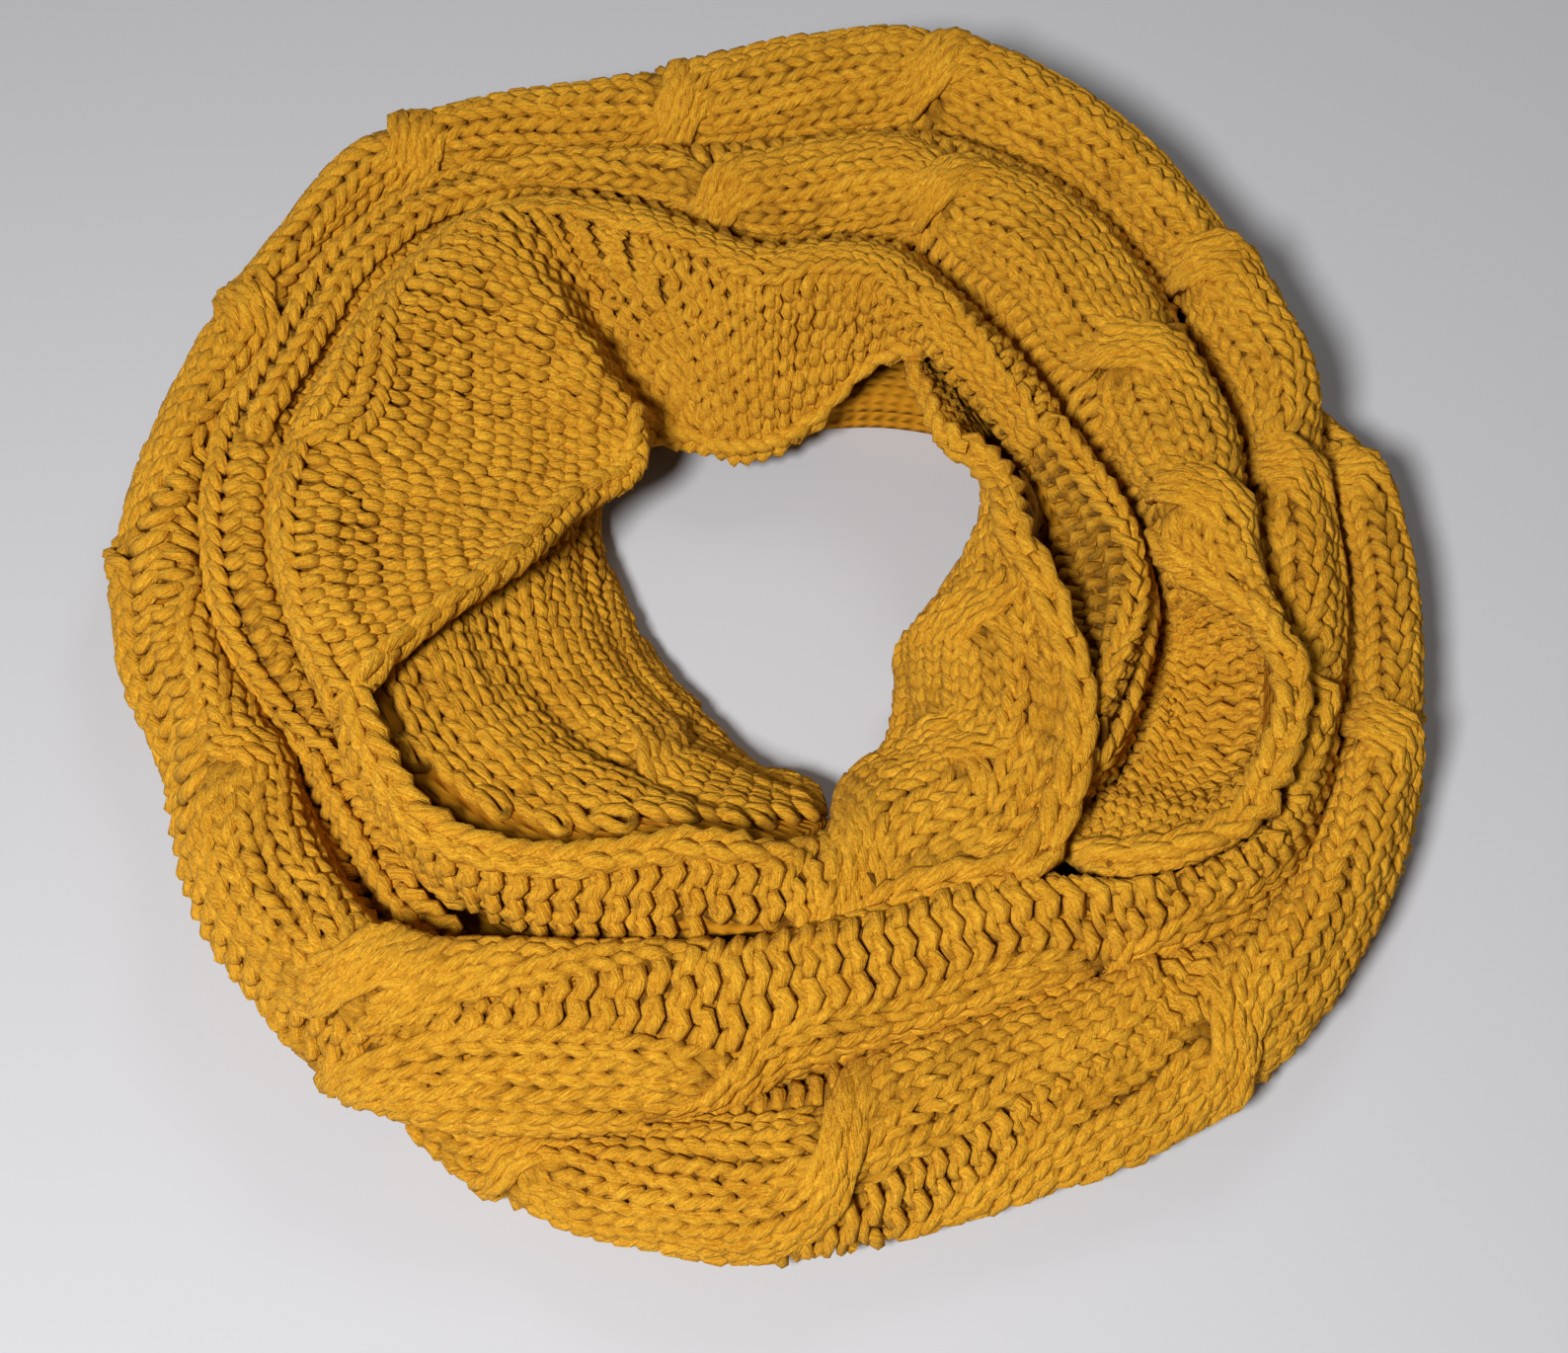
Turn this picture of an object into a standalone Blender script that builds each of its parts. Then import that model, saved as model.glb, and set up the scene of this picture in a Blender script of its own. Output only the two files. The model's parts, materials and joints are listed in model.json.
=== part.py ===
"""Infinity scarf, heaped: one long knitted loop, wound twice and laid down as a ring.

The ring lies on a flat surface, +Z up, with its origin under the middle of the heap at z = 0.
Every stretch of the scarf that shows is a wall of knitted cloth. A stretch is described as a
strip that runs round the ring: its section is given at a number of clock angles (degrees,
counter-clockwise seen from above, 0 at +X), and the surface runs smoothly from one section to
the next. Radii are measured from the clock's centre; radii and heights are in millimetres.
"""
import math

import bmesh
import bpy
import numpy as np

# driving dimensions, in millimetres
WALL = 4.0                 # thickness of the knitted cloth between its cables
CABLE_RISE = 3.4           # how far a cable stands out of the cloth
CABLE = 43.2               # width of a cable: six knitted columns, three crossed over three
GUTTER = 21.6              # width of the two purl columns between two cables
CROSSING_EVERY = 86.0      # distance between two crossings of one cable
WAIST = 0.30               # how much a cable narrows at its crossing
CORE_TOP = 17.0            # top of the hidden layers, on which the stretches stand
FOOT = CORE_TOP + 0.3      # lowest edge of a stretch that stands on the hidden layers
FLOOR_GAP = 0.4            # the cloth's edges end this far above the surface
REPEAT = CABLE + GUTTER
CLOCK_CENTRE = (1.4, -2.2)  # the clock's centre, from the middle of the heap

YARN = (0.52, 0.27, 0.022)

# The lines where two stretches meet in a fold. Columns: clock, radius, height of the fold
FOLD_LOW = [
    (236, 179, 8), (246, 183, 11), (254, 183, 15), (263, 175, 19), (273, 165, 22),
    (283, 160, 24), (295, 160, 24), (304, 165, 25), (314, 174, 25), (325, 182, 25),
    (337, 180, 25), (350, 177, 26), (363, 176, 26), (371, 175, 24), (380, 172, 18),
    (390, 169, 12),
]
FOLD_OUTER = [
    (2, 148, 47), (14, 153, 46), (27, 156, 46), (39, 163, 46), (50, 172, 46), (62, 177, 46),
    (74, 175, 46), (84, 165, 46), (95, 162, 46), (107, 165, 46), (120, 174, 46), (132, 183, 45),
    (143, 183, 44), (152, 177, 43), (164, 177, 42), (176, 172, 40), (188, 165, 37),
    (198, 156, 34), (208, 152, 31), (218, 154, 30), (228, 159, 31), (235, 160, 37),
    (242, 151, 47), (252, 142, 49), (262, 135, 50), (272, 131, 50), (284, 127, 50),
    (296, 128, 50), (304, 136, 49), (312, 154, 49), (320, 166, 50), (327, 170, 50),
    (336, 164, 49), (346, 157, 49), (355, 150, 48),
]
FOLD_INNER = [
    (-54, 128, 43), (-44, 127, 40), (-33, 125, 36), (-22, 122, 34), (-12, 120, 35),
    (-2, 116, 41), (8, 108, 44), (20, 103, 45), (34, 103, 46), (47, 107, 46), (58, 115, 46),
    (68, 124, 46), (79, 121, 46), (90, 117, 46), (98, 125, 46), (106, 139, 46), (116, 154, 47),
    (127, 159, 44), (140, 157, 41), (154, 154, 40), (168, 150, 40), (180, 145, 39),
    (192, 140, 36), (202, 137, 33), (214, 139, 32), (226, 142, 32), (238, 146, 38),
]

# Sections of each stretch. A pair of columns is the radius and the height of one station,
# from the outside of the ring inwards.
OUTER_TURN = [
    # clock  foot      side      shoulder   crest
    (2, 173, 20, 175, 31, 168, 46, 160, 52),
    (12, 172, 22, 176, 35, 169, 48, 161, 53),
    (21, 170, 22, 182, 41, 177, 53, 168, 56),
    (28, 172, 18, 186, 38, 181, 53, 172, 56),
    (35, 176, 8, 191, 34, 185, 52, 175, 56),
    (42, 182, 3, 196, 30, 189, 51, 179, 56),
    (50, 188, 2, 203, 30, 196, 52, 186, 58),
    (62, 198, 2, 214, 30, 206, 53, 193, 60),
    (74, 204, 2, 220, 30, 211, 53, 195, 61),
    (84, 199, 2, 214, 30, 204, 52, 186, 60),
    (95, 188, 2, 202, 30, 194, 52, 179, 59),
    (107, 184, 2, 198, 29, 190, 51, 179, 58),
    (120, 192, 2, 206, 28, 198, 51, 187, 57),
    (130, 194, 2, 210, 28, 204, 50, 195, 56),
    (142, 186, 2, 202, 25, 198, 44, 191, 50),
    (152, 183, 2, 200, 25, 194, 42, 186, 47),
    (164, 181, 2, 198, 22, 192, 38, 184, 44),
    (176, 181, 2, 197, 20, 189, 38, 180, 43),
    (188, 178, 2, 194, 18, 184, 37, 173, 41),
    (198, 172, 2, 187, 17, 177, 37, 165, 40),
    (206, 175, 2, 190, 17, 181, 39, 166, 41),
    (216, 181, 2, 196, 16, 187, 41, 168, 44),
    (226, 181, 2, 197, 15, 188, 43, 172, 48),
    (234, 184, 12, 200, 20, 191, 43, 172, 55),
    (242, 189, 17, 199, 24, 187, 43, 162, 57),
    (250, 187, 18, 191, 26, 176, 46, 153, 58),
    (257, 181, 20, 184, 28, 168, 48, 147, 58),
    (264, 172, 20, 175, 30, 162, 48, 143, 58),
    (272, 164, 20, 166, 30, 155, 48, 140, 58),
    (284, 157, 20, 159, 31, 150, 49, 137, 58),
    (296, 157, 20, 159, 31, 150, 49, 138, 58),
    (304, 161, 20, 163, 31, 156, 49, 146, 58),
    (311, 168, 20, 170, 31, 166, 49, 160, 57),
    (318, 175, 20, 178, 32, 176, 48, 172, 56),
    (326, 180, 20, 182, 32, 180, 47, 176, 55),
    (336, 177, 20, 179, 32, 176, 46, 171, 53),
    (346, 173, 20, 175, 31, 171, 46, 164, 52),
    (354, 172, 20, 174, 30, 169, 46, 161, 52),
]
OUTER_LOW_STRETCH = [
    # clock  foot      side      crest
    (240, 191, 2, 198, 6, 190, 12),
    (247, 194, 2, 203, 8, 196, 15),
    (254, 193, 2, 206, 10, 198, 22),
    (262, 192, 2, 208, 11, 196, 31),
    (271, 193, 2, 211, 12, 192, 37),
    (281, 189, 2, 206, 12, 186, 38),
    (292, 187, 2, 204, 12, 184, 38),
    (302, 188, 2, 207, 12, 187, 39),
    (312, 191, 2, 210, 12, 193, 40),
    (324, 189, 2, 208, 14, 197, 40),
    (336, 186, 2, 205, 15, 194, 40),
    (348, 182, 2, 200, 17, 190, 40),
    (360, 178, 2, 196, 19, 188, 41),
    (370, 176, 2, 194, 19, 187, 39),
    (379, 174, 2, 191, 15, 184, 29),
    (388, 172, 2, 187, 9, 179, 19),
]
MIDDLE_TURN = [
    # clock  shoulder  crest
    (-51, 146, 50, 137, 46),
    (-45, 161, 56, 147, 50),
    (-38, 170, 61, 150, 48),
    (-30, 167, 66, 149, 43),
    (-22, 161, 68, 145, 39),
    (-15, 152, 69, 140, 43),
    (-10, 142, 69, 129, 56),
    (-5, 137, 69, 121, 64),
    (7, 136, 68, 119, 67),
    (20, 139, 65, 119, 64),
    (35, 142, 62, 119, 64),
    (50, 151, 61, 124, 64),
    (64, 157, 60, 137, 63),
    (78, 151, 60, 134, 62),
    (92, 147, 58, 131, 60),
    (104, 152, 56, 144, 57),
    (116, 163, 54, 158, 53),
    (128, 174, 53, 168, 53),
    (141, 174, 50, 166, 51),
    (153, 169, 48, 161, 50),
    (166, 169, 46, 159, 49),
    (180, 163, 44, 153, 48),
    (193, 154, 41, 146, 44),
    (205, 147, 34, 142, 37),
    (218, 149, 31, 145, 33),
    (230, 154, 32, 149, 33),
    (237, 153, 32, 148, 32),
]
INNER_TURN = [
    # clock  crest    slope     edge
    (-49, 121, 51, 114, 44, 110, 34),
    (-40, 119, 57, 111, 48, 106, 40),
    (-30, 117, 60, 107, 49, 100, 43),
    (-20, 113, 62, 102, 50, 93, 43),
    (-8, 107, 64, 97, 52, 87, 43),
    (4, 100, 65, 92, 54, 85, 43),
    (16, 93, 66, 87, 56, 83, 44),
    (30, 90, 68, 84, 59, 83, 46),
    (45, 90, 69, 84, 61, 83, 49),
    (57, 91, 70, 86, 61, 85, 49),
    (66, 92, 70, 83, 56, 81, 40),
    (74, 91, 70, 77, 49, 68, 28),
    (84, 88, 69, 72, 46, 58, 22),
    (94, 88, 68, 71, 46, 55, 21),
    (103, 97, 67, 76, 47, 56, 21),
    (110, 107, 67, 88, 50, 62, 21),
    (116, 118, 66, 96, 46, 66, 21),
    (121, 129, 66, 105, 43, 70, 23),
    (125, 133, 68, 102, 49, 70, 31),
    (130, 134, 73, 94, 62, 62, 46),
    (138, 132, 75, 92, 64, 53, 46),
    (147, 131, 76, 93, 61, 51, 44),
    (158, 132, 76, 95, 60, 56, 46),
    (168, 133, 76, 99, 62, 60, 50),
    (178, 137, 76, 104, 65, 65, 53),
    (188, 137, 76, 109, 67, 72, 57),
    (195, 136, 75, 114, 69, 83, 61),
    (200, 136, 74, 119, 70, 95, 64),
    (204, 136, 71, 126, 71, 109, 66),
    (207, 137, 69, 132, 72, 121, 69),
    (211, 138, 63, 138, 68, 133, 71),
]
HOLE_SIDE_BAND = [
    # clock  top edge, or foot at the hole; bulge; middle; outer edge
    (210, 133, 71, 138, 68, 139, 61, 137, 28),
    (220, 138, 70, 141, 66, 142, 55, 139, 30),
    (228, 142, 68, 145, 64, 145, 54, 142, 30),
    (236, 139, 67, 143, 64, 145, 55, 144, 34),
    (244, 132, 67, 137, 64, 142, 56, 145, 40),
    (252, 123, 67, 128, 64, 136, 57, 141, 44),
    (260, 115, 66, 120, 63, 129, 58, 136, 48),
    (268, 113, 62, 118, 61, 126, 58, 133, 50),
    (275, 109, 53, 113, 58, 121, 58, 131, 51),
    (281, 97, 33, 98, 45, 112, 55, 129, 52),
    (286, 82, 13, 80, 29, 103, 52, 128, 53),
    (293, 76, 4, 70, 22, 100, 50, 128, 55),
    (303, 73, 3, 67, 21, 99, 50, 135, 57),
    (312, 65, 3, 59, 21, 91, 49, 125, 61),
    (322, 59, 3, 51, 22, 82, 49, 113, 65),
    (333, 55, 3, 46, 22, 70, 48, 96, 65),
    (345, 58, 3, 50, 22, 65, 47, 81, 65),
    (359, 65, 3, 57, 22, 63, 45, 72, 62),
    (371, 76, 8, 69, 25, 68, 43, 73, 57),
    (383, 86, 18, 79, 31, 72, 43, 70, 52),
    (396, 88, 28, 81, 35, 74, 42, 68, 48),
    (408, 90, 32, 86, 36, 80, 41, 75, 45),
    (419, 93, 34, 90, 37, 87, 40, 84, 43),
]
POCKET_WALL = [
    # clock  foot    low      high      top
    (140, 71, 5, 76, 15, 87, 25, 100, 32),
    (151, 63, 5, 68, 16, 81, 28, 98, 36),
    (165, 52, 5, 59, 18, 77, 32, 99, 43),
    (180, 44, 5, 53, 18, 78, 35, 106, 50),
    (194, 40, 5, 51, 19, 82, 38, 114, 55),
    (207, 38, 5, 51, 19, 88, 40, 124, 60),
    (220, 38, 5, 51, 19, 91, 41, 130, 61),
    (233, 39, 5, 52, 19, 90, 41, 129, 61),
    (246, 44, 5, 56, 19, 86, 40, 118, 60),
    (258, 51, 5, 61, 19, 83, 37, 107, 57),
    (268, 57, 5, 66, 17, 84, 34, 102, 52),
    (276, 61, 8, 70, 18, 85, 30, 100, 44),
    (282, 68, 13, 75, 19, 83, 26, 90, 32),
]
HIDDEN_LAYERS = [
    # clock  hole side, outside
    (0, 74, 164), (12, 82, 163), (24, 94, 159), (36, 96, 162), (48, 94, 174), (62, 86, 186),
    (76, 78, 190), (90, 76, 180), (105, 78, 171), (120, 84, 176), (132, 88, 176),
    (145, 86, 171), (158, 78, 167), (172, 68, 167), (186, 62, 164), (200, 60, 161),
    (214, 60, 166), (228, 61, 166), (240, 66, 160), (252, 72, 164), (264, 80, 172),
    (276, 90, 174), (288, 90, 172), (300, 84, 174), (312, 74, 177), (324, 66, 177),
    (336, 62, 173), (348, 66, 168),
]

# Where a cable's middle lies across each stretch, in mm from its outer edge (clock, middle),
# and the clock angles of the crossings. The cables slide across a stretch as it winds.
CABLES = {
    "outer_turn": [
        (0, 40), (20, 43), (30, 55), (36, 63), (45, 70), (70, 80), (100, 80), (120, 73),
        (135, 66), (150, 56), (165, 38), (180, 20), (200, 5), (215, -3), (225, -1), (232, 8),
        (238, 17), (255, 16), (262, 13), (270, 9), (280, 5), (300, 5), (306, 3), (315, 5),
        (323, 2), (332, -12), (345, -22), (360, -25)],
    "outer_low_stretch": [
        (238, -43), (250, -35), (262, -25), (276, -12), (281, 0), (286, 5), (289, 10),
        (293, 18), (297, 25), (302, 30), (307, 38), (312, 45), (320, 50), (330, 54),
        (345, 54), (388, 50)],
    "middle_turn": [
        (-55, 48), (-30, 45), (-10, 45), (10, 50), (27, 52), (50, 53), (66, 57), (90, 57),
        (105, 50), (116, 40), (140, 30), (239, 26)],
    "inner_turn": [(-50, 12), (0, 16), (60, 17), (110, 18), (130, 15), (180, 14), (211, 14)],
    "hole_side_band": [
        (211, 50), (240, 50), (255, 46), (265, 40), (280, 45), (300, 55), (335, 52),
        (360, 42), (419, 30)],
    "pocket_wall": [(139, 30), (180, 38), (230, 44), (282, 30)],
}
# Where the gutters are drawn together or pulled open: mm more from one cable to the next
SPREAD = {
    "outer_turn": [
        (0, 0), (224, 0), (232, -15), (236, -19), (240, -12), (247, -6), (252, -3), (258, 0),
        (265, 3), (275, 8), (312, 8), (325, 4), (340, 0), (360, 0)],
    "outer_low_stretch": [
        (238, 0), (284, 0), (289, -3), (293, -8), (297, -14), (302, -16), (307, -19),
        (315, -10), (325, 0), (388, 0)],
}
CROSSINGS = {
    "outer_turn": [-19, 9, 36, 73, 100, 127, 151, 178, 205, 233, 267, 306, 341, 369],
    "outer_low_stretch": [226, 250, 276, 309, 341, 370, 395],
    "middle_turn": [-60, -28, 0, 27, 66, 97, 125, 150, 178, 206, 236, 260],
    "inner_turn": [-60, -12, 30, 66, 98, 126, 152, 178, 204, 230],
    "hole_side_band": [200, 232, 262, 308, 336, 372, 410, 440],
    "pocket_wall": [100, 246, 320],
}
# The clock angles between which a stretch shows raised cables, where it isn't everywhere
CABLED = {"middle_turn": (-12, 124), "inner_turn": (0, 0), "hole_side_band": (200, 352)}
# Soft folds that run along the pocket wall: middle across the cloth, half width, height
POCKET_FOLDS = [(7, 14, 3.6), (39, 19, 5.0), (73, 16, 4.2)]


def smooth(knots, values, places):
    """Curve through the knots, read at the places; slopes come from both neighbours."""
    knots, values = np.asarray(knots, float), np.asarray(values, float)
    places = np.asarray(places, float)
    values = values.reshape(len(knots), -1)
    step = np.diff(knots)[:, None]
    rate = np.diff(values, axis=0) / step
    slope = np.empty_like(values)
    slope[1:-1] = (rate[:-1] * step[1:] + rate[1:] * step[:-1]) / (step[1:] + step[:-1])
    slope[0], slope[-1] = rate[0], rate[-1]
    k = np.clip(np.searchsorted(knots, places, side="right") - 1, 0, len(knots) - 2)
    h = step[k]
    t = ((places - knots[k])[:, None]) / h
    return ((2 * t**3 - 3 * t**2 + 1) * values[k] + (t**3 - 2 * t**2 + t) * h * slope[k]
            + (3 * t**2 - 2 * t**3) * values[k + 1] + (t**3 - t**2) * h * slope[k + 1])


def rows_at(table, clocks, closed=False):
    """The rows of a table at any clock angles, run smoothly through its own rows."""
    rows = np.array(table, float)
    if closed:
        before, after = rows[-3:].copy(), rows[:3].copy()
        before[:, 0] -= 360
        after[:, 0] += 360
        rows = np.vstack([before, rows, after])
    return smooth(rows[:, 0], rows[:, 1:], clocks)


def fold_at(table, clocks, closed=False):
    """Radius and height of a fold line at the clock angles."""
    if closed:
        clocks = np.mod(clocks, 360)
    row = rows_at(table, clocks, closed)
    return row[:, 0], row[:, 1]


def section(stations, count):
    """Points evenly spaced along a smooth line through the stations of one section."""
    chord = np.sqrt(np.linalg.norm(np.diff(stations, axis=0), axis=1))
    knots = np.concatenate([[0], np.cumsum(chord)])
    fine = smooth(knots, stations, np.linspace(0, knots[-1], 160))
    length = np.concatenate([[0], np.cumsum(np.linalg.norm(np.diff(fine, axis=0), axis=1))])
    even = np.linspace(0, length[-1], count)
    return np.column_stack([np.interp(even, length, fine[:, k]) for k in (0, 1)]), even


def pair_stations(row):
    """A table row as a list of (radius, height) stations."""
    return np.asarray(row, float).reshape(-1, 2)


def outer_turn(clocks):
    rows = rows_at(OUTER_TURN, clocks, closed=True)
    inner, height = fold_at(FOLD_OUTER, clocks, closed=True)
    return [np.vstack([pair_stations(row), [r + 3.2, z], [r + 1.6, max(z - 14, FOOT)]])
            for row, r, z in zip(rows, inner, height)]


def outer_low_stretch(clocks):
    rows = rows_at(OUTER_LOW_STRETCH, clocks)
    inner, height = fold_at(FOLD_LOW, clocks)
    out = []
    for row, r, z in zip(rows, inner, height):
        foot, side, crest = pair_stations(row)
        fall = crest[1] - z
        edge = crest[1] - 1.4 * fall
        if crest[1] > 30:
            edge = max(edge, FOOT)
        out.append(np.vstack([foot, side, crest, [r + 2.2, crest[1] - 0.5 * fall],
                              [r + 0.6, edge]]))
    return out


def middle_turn(clocks):
    rows = rows_at(MIDDLE_TURN, clocks)
    outer, high = fold_at(FOLD_OUTER, clocks, closed=True)
    inner, low = fold_at(FOLD_INNER, clocks)
    out = []
    for row, a, za, b, zb in zip(rows, outer, high, inner, low):
        shoulder, crest = pair_stations(row)
        za, zb = min(za - 2, shoulder[1] - 3), min(zb, crest[1] - 3)
        out.append(np.vstack([[a - 1.4, max(za - 14, FOOT)], [a - 2.6, za], shoulder, crest,
                              [b + 2.6, zb], [b + 1.4, max(zb - 13, FOOT)]]))
    return out


def inner_turn(clocks):
    rows = rows_at(INNER_TURN, clocks)
    outer, low = fold_at(FOLD_INNER, clocks)
    return [np.vstack([[a - 1.4, max(za - 16, FOOT)], [a - 2.6, za], pair_stations(row)])
            for row, a, za in zip(rows, outer, low)]


def plain_rows(table):
    """A stretch whose rows hold all of its stations."""
    return lambda clocks: [pair_stations(row) for row in rows_at(table, clocks)]


def at(clock, radius, height):
    """Points at a clock angle in radians, from their radii and heights."""
    return np.column_stack([CLOCK_CENTRE[0] + radius * math.cos(clock),
                            CLOCK_CENTRE[1] + radius * math.sin(clock), height])


def strip(stretch, clocks, count):
    """Grid of points, in mm, on the outside of a stretch, and the distance across it."""
    clocks = np.asarray(clocks, float)
    grid, across = [], []
    for clock, stations in zip(np.radians(clocks), stretch(clocks)):
        line, length = section(stations, count)
        grid.append(at(clock, line[:, 0], line[:, 1]))
        across.append(length)
    return np.array(grid), np.array(across)


def normals(grid, closed):
    """Unit normals of a grid of points, out of the cloth's outer side."""
    if closed:
        along = np.roll(grid, -1, axis=0) - np.roll(grid, 1, axis=0)
    else:
        along = np.gradient(grid, axis=0)
    normal = np.cross(along, np.gradient(grid, axis=1))
    return normal / np.linalg.norm(normal, axis=2, keepdims=True)


def thickness(grid, normal):
    """The cloth's thickness, less where it is squeezed or turns round a tight fold."""
    step = np.linalg.norm(np.diff(grid, axis=1), axis=2)
    turn = np.linalg.norm(np.diff(normal, axis=1), axis=2)
    radius = np.full(grid.shape[:2], 99.0)
    bend = step / np.maximum(turn, 1e-6)
    radius[:, :-1] = np.minimum(radius[:, :-1], bend)
    radius[:, 1:] = np.minimum(radius[:, 1:], bend)
    gap = grid[:, :, None] - grid[:, None, :]
    away = (gap * normal[:, :, None]).sum(axis=3) > 0
    back_to_back = (normal[:, :, None] * normal[:, None, :]).sum(axis=3) < -0.25
    room = np.where(away & back_to_back, np.linalg.norm(gap, axis=3), 99.0).min(axis=2)
    limit = np.minimum(np.minimum(WALL, 0.33 * room), 0.5 * radius)
    place = np.concatenate([np.zeros((len(grid), 1)), np.cumsum(step, axis=1)], axis=1)
    apart = np.abs(place[:, :, None] - place[:, None, :])
    return (limit[:, None, :] + 0.15 * apart).min(axis=2)


def cable_height(name, clocks, across):
    """How far the cloth stands out: cables with waists at their crossings, low gutters."""
    if name == "pocket_wall":
        return sum(rise * np.clip(1 - ((across - mid) / half) ** 2, 0, 1) ** 0.6
                   for mid, half, rise in POCKET_FOLDS)
    middle = smooth(*zip(*CABLES[name]), clocks)
    repeat = REPEAT + np.interp(clocks, *zip(*SPREAD.get(name, [(0, 0), (360, 0)])))[:, None]
    side = np.mod(across - middle + repeat / 2, repeat) - repeat / 2
    marks = np.array(CROSSINGS[name], float)
    turn = np.interp(clocks, marks, np.arange(len(marks)))
    near = np.exp(-((turn - np.round(turn)) * CROSSING_EVERY / 13.0) ** 2)[:, None]
    half = np.minimum(0.5 * CABLE * (1.08 - WAIST * near), (repeat - 6) / 2)
    bow = np.clip(1 - (side / half) ** 2, 0, 1) ** 0.45
    first, last = CABLED.get(name, (-999, 999))
    shown = np.clip(np.minimum(clocks - first, last - clocks) / 10, 0, 1)[:, None]
    return CABLE_RISE * bow * (0.8 + 0.2 * near) * shown


def wall(name, stretch, first, last, steps, count, lowest=FLOOR_GAP, closed=False,
         turned=False):
    """A closed wall of cloth: outer side with its cables, plain inner side, and the edges."""
    clocks = np.linspace(first, last, steps + 1)
    if closed:
        clocks = clocks[:-1]
    grid, across = strip(stretch, clocks, count)
    rise = cable_height(name, clocks, across)
    rise *= np.clip((np.minimum(across, across[:, -1:] - across) - 8) / 14, 0, 1)
    if not closed:
        row = np.arange(len(clocks))
        rise *= np.clip(np.minimum(row, row[::-1]) / 2, 0, 1)[:, None]
    if turned:
        grid, rise = grid[:, ::-1], rise[:, ::-1]
    normal = normals(grid, closed)
    if not closed:
        for end in (0, -1):
            a = math.radians(clocks[end])
            round_ring = np.array([-math.sin(a), math.cos(a), 0])
            normal[end] -= (normal[end] @ round_ring)[:, None] * round_ring
            normal[end] /= np.linalg.norm(normal[end], axis=1, keepdims=True)
    outside = grid + normal * rise[..., None]
    inside = (grid - normal * thickness(grid, normal)[..., None])[:, ::2]
    for side in (outside, inside):
        side[..., 2] = np.maximum(side[..., 2], lowest)
    mesh = bpy.data.meshes.new(name)
    shape = bmesh.new()
    out = [[shape.verts.new(p / 1000) for p in row] for row in outside]
    back = [[shape.verts.new(p / 1000) for p in row] for row in inside]
    n = len(clocks)
    for i in range(n if closed else n - 1):
        k = (i + 1) % n
        for j in range(count - 1):
            shape.faces.new((out[i][j], out[i][j + 1], out[k][j + 1], out[k][j]))
        for j in range(count // 2):
            shape.faces.new((back[k][j], back[k][j + 1], back[i][j + 1], back[i][j]))
        shape.faces.new((out[k][0], back[k][0], back[i][0], out[i][0]))
        shape.faces.new((out[i][-1], back[i][-1], back[k][-1], out[k][-1]))
    if not closed:
        for row, hem in ((out[0], back[0]), (out[-1][::-1], back[-1][::-1])):
            for j in range(count // 2):
                shape.faces.new((row[2 * j + 2], row[2 * j + 1], row[2 * j], hem[j], hem[j + 1]))
    bmesh.ops.triangulate(shape, faces=shape.faces)
    bmesh.ops.recalc_face_normals(shape, faces=shape.faces)
    shape.to_mesh(mesh)
    shape.free()
    return place(name, mesh)


def hidden_layers(name, steps=60):
    """The layers that nobody sees: one rounded ring with a flat underside."""
    mesh = bpy.data.meshes.new(name)
    shape = bmesh.new()
    rings = []
    for clock in np.linspace(0, 360, steps, endpoint=False):
        hole, outside = rows_at(HIDDEN_LAYERS, [clock], closed=True)[0]
        profile = np.array([(hole, 0), (hole, CORE_TOP - 10), (hole + 2, CORE_TOP - 4),
                            (hole + 8, CORE_TOP), (outside - 8, CORE_TOP),
                            (outside - 2, CORE_TOP - 4), (outside, CORE_TOP - 10),
                            (outside, 0)])
        rings.append([shape.verts.new(p / 1000)
                      for p in at(math.radians(clock), profile[:, 0], profile[:, 1])])
    for i, ring in enumerate(rings):
        after = rings[(i + 1) % steps]
        for j in range(len(ring)):
            k = (j + 1) % len(ring)
            shape.faces.new((ring[j], ring[k], after[k], after[j]))
    bmesh.ops.triangulate(shape, faces=shape.faces)
    bmesh.ops.recalc_face_normals(shape, faces=shape.faces)
    shape.to_mesh(mesh)
    shape.free()
    return place(name, mesh)


def yarn_material(name, colour):
    material = bpy.data.materials.new(name)
    material.use_nodes = True
    shader = material.node_tree.nodes["Principled BSDF"]
    shader.inputs["Base Color"].default_value = (*colour, 1.0)
    shader.inputs["Roughness"].default_value = 0.85
    shader.inputs["Metallic"].default_value = 0.0
    material.diffuse_color = (*colour, 1.0)
    return material


def place(name, mesh):
    obj = bpy.data.objects.new(name, mesh)
    scarf.objects.link(obj)
    mesh.materials.append(yarn)
    mesh.shade_smooth()
    return obj


for old in list(bpy.data.objects):
    bpy.data.objects.remove(old, do_unlink=True)
scarf = bpy.data.collections.new("infinity_scarf")
bpy.context.scene.collection.children.link(scarf)
yarn = yarn_material("mustard_yarn", YARN)

hidden_layers("hidden_layers")
wall("outer_turn", outer_turn, 0, 360, 72, 17, closed=True)
wall("outer_low_stretch", outer_low_stretch, 240, 388, 35, 11)
wall("middle_turn", middle_turn, -51, 235, 56, 15, lowest=FOOT)
wall("inner_turn", inner_turn, -49, 210.2, 52, 15, lowest=FOOT)
wall("hole_side_band", plain_rows(HOLE_SIDE_BAND), 210.33, 417, 44, 11, turned=True)
wall("pocket_wall", plain_rows(POCKET_WALL), 140, 282, 22, 9, turned=True)
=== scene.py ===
# %% [markdown]
# # A chunky cable-knit loop scarf
#
# This lesson dresses a heaped infinity scarf in its real knit. The scarf is one long knitted
# loop, wound twice and laid down as a ring, so what shows is a handful of stretches of the same
# cloth. Chunky yarn is so thick that every stitch can be seen, so each stitch is made of real
# yarn here: one strand for each row, bent into loops the way a needle bends it.

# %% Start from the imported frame
import json
import math
from functools import partial

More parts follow.
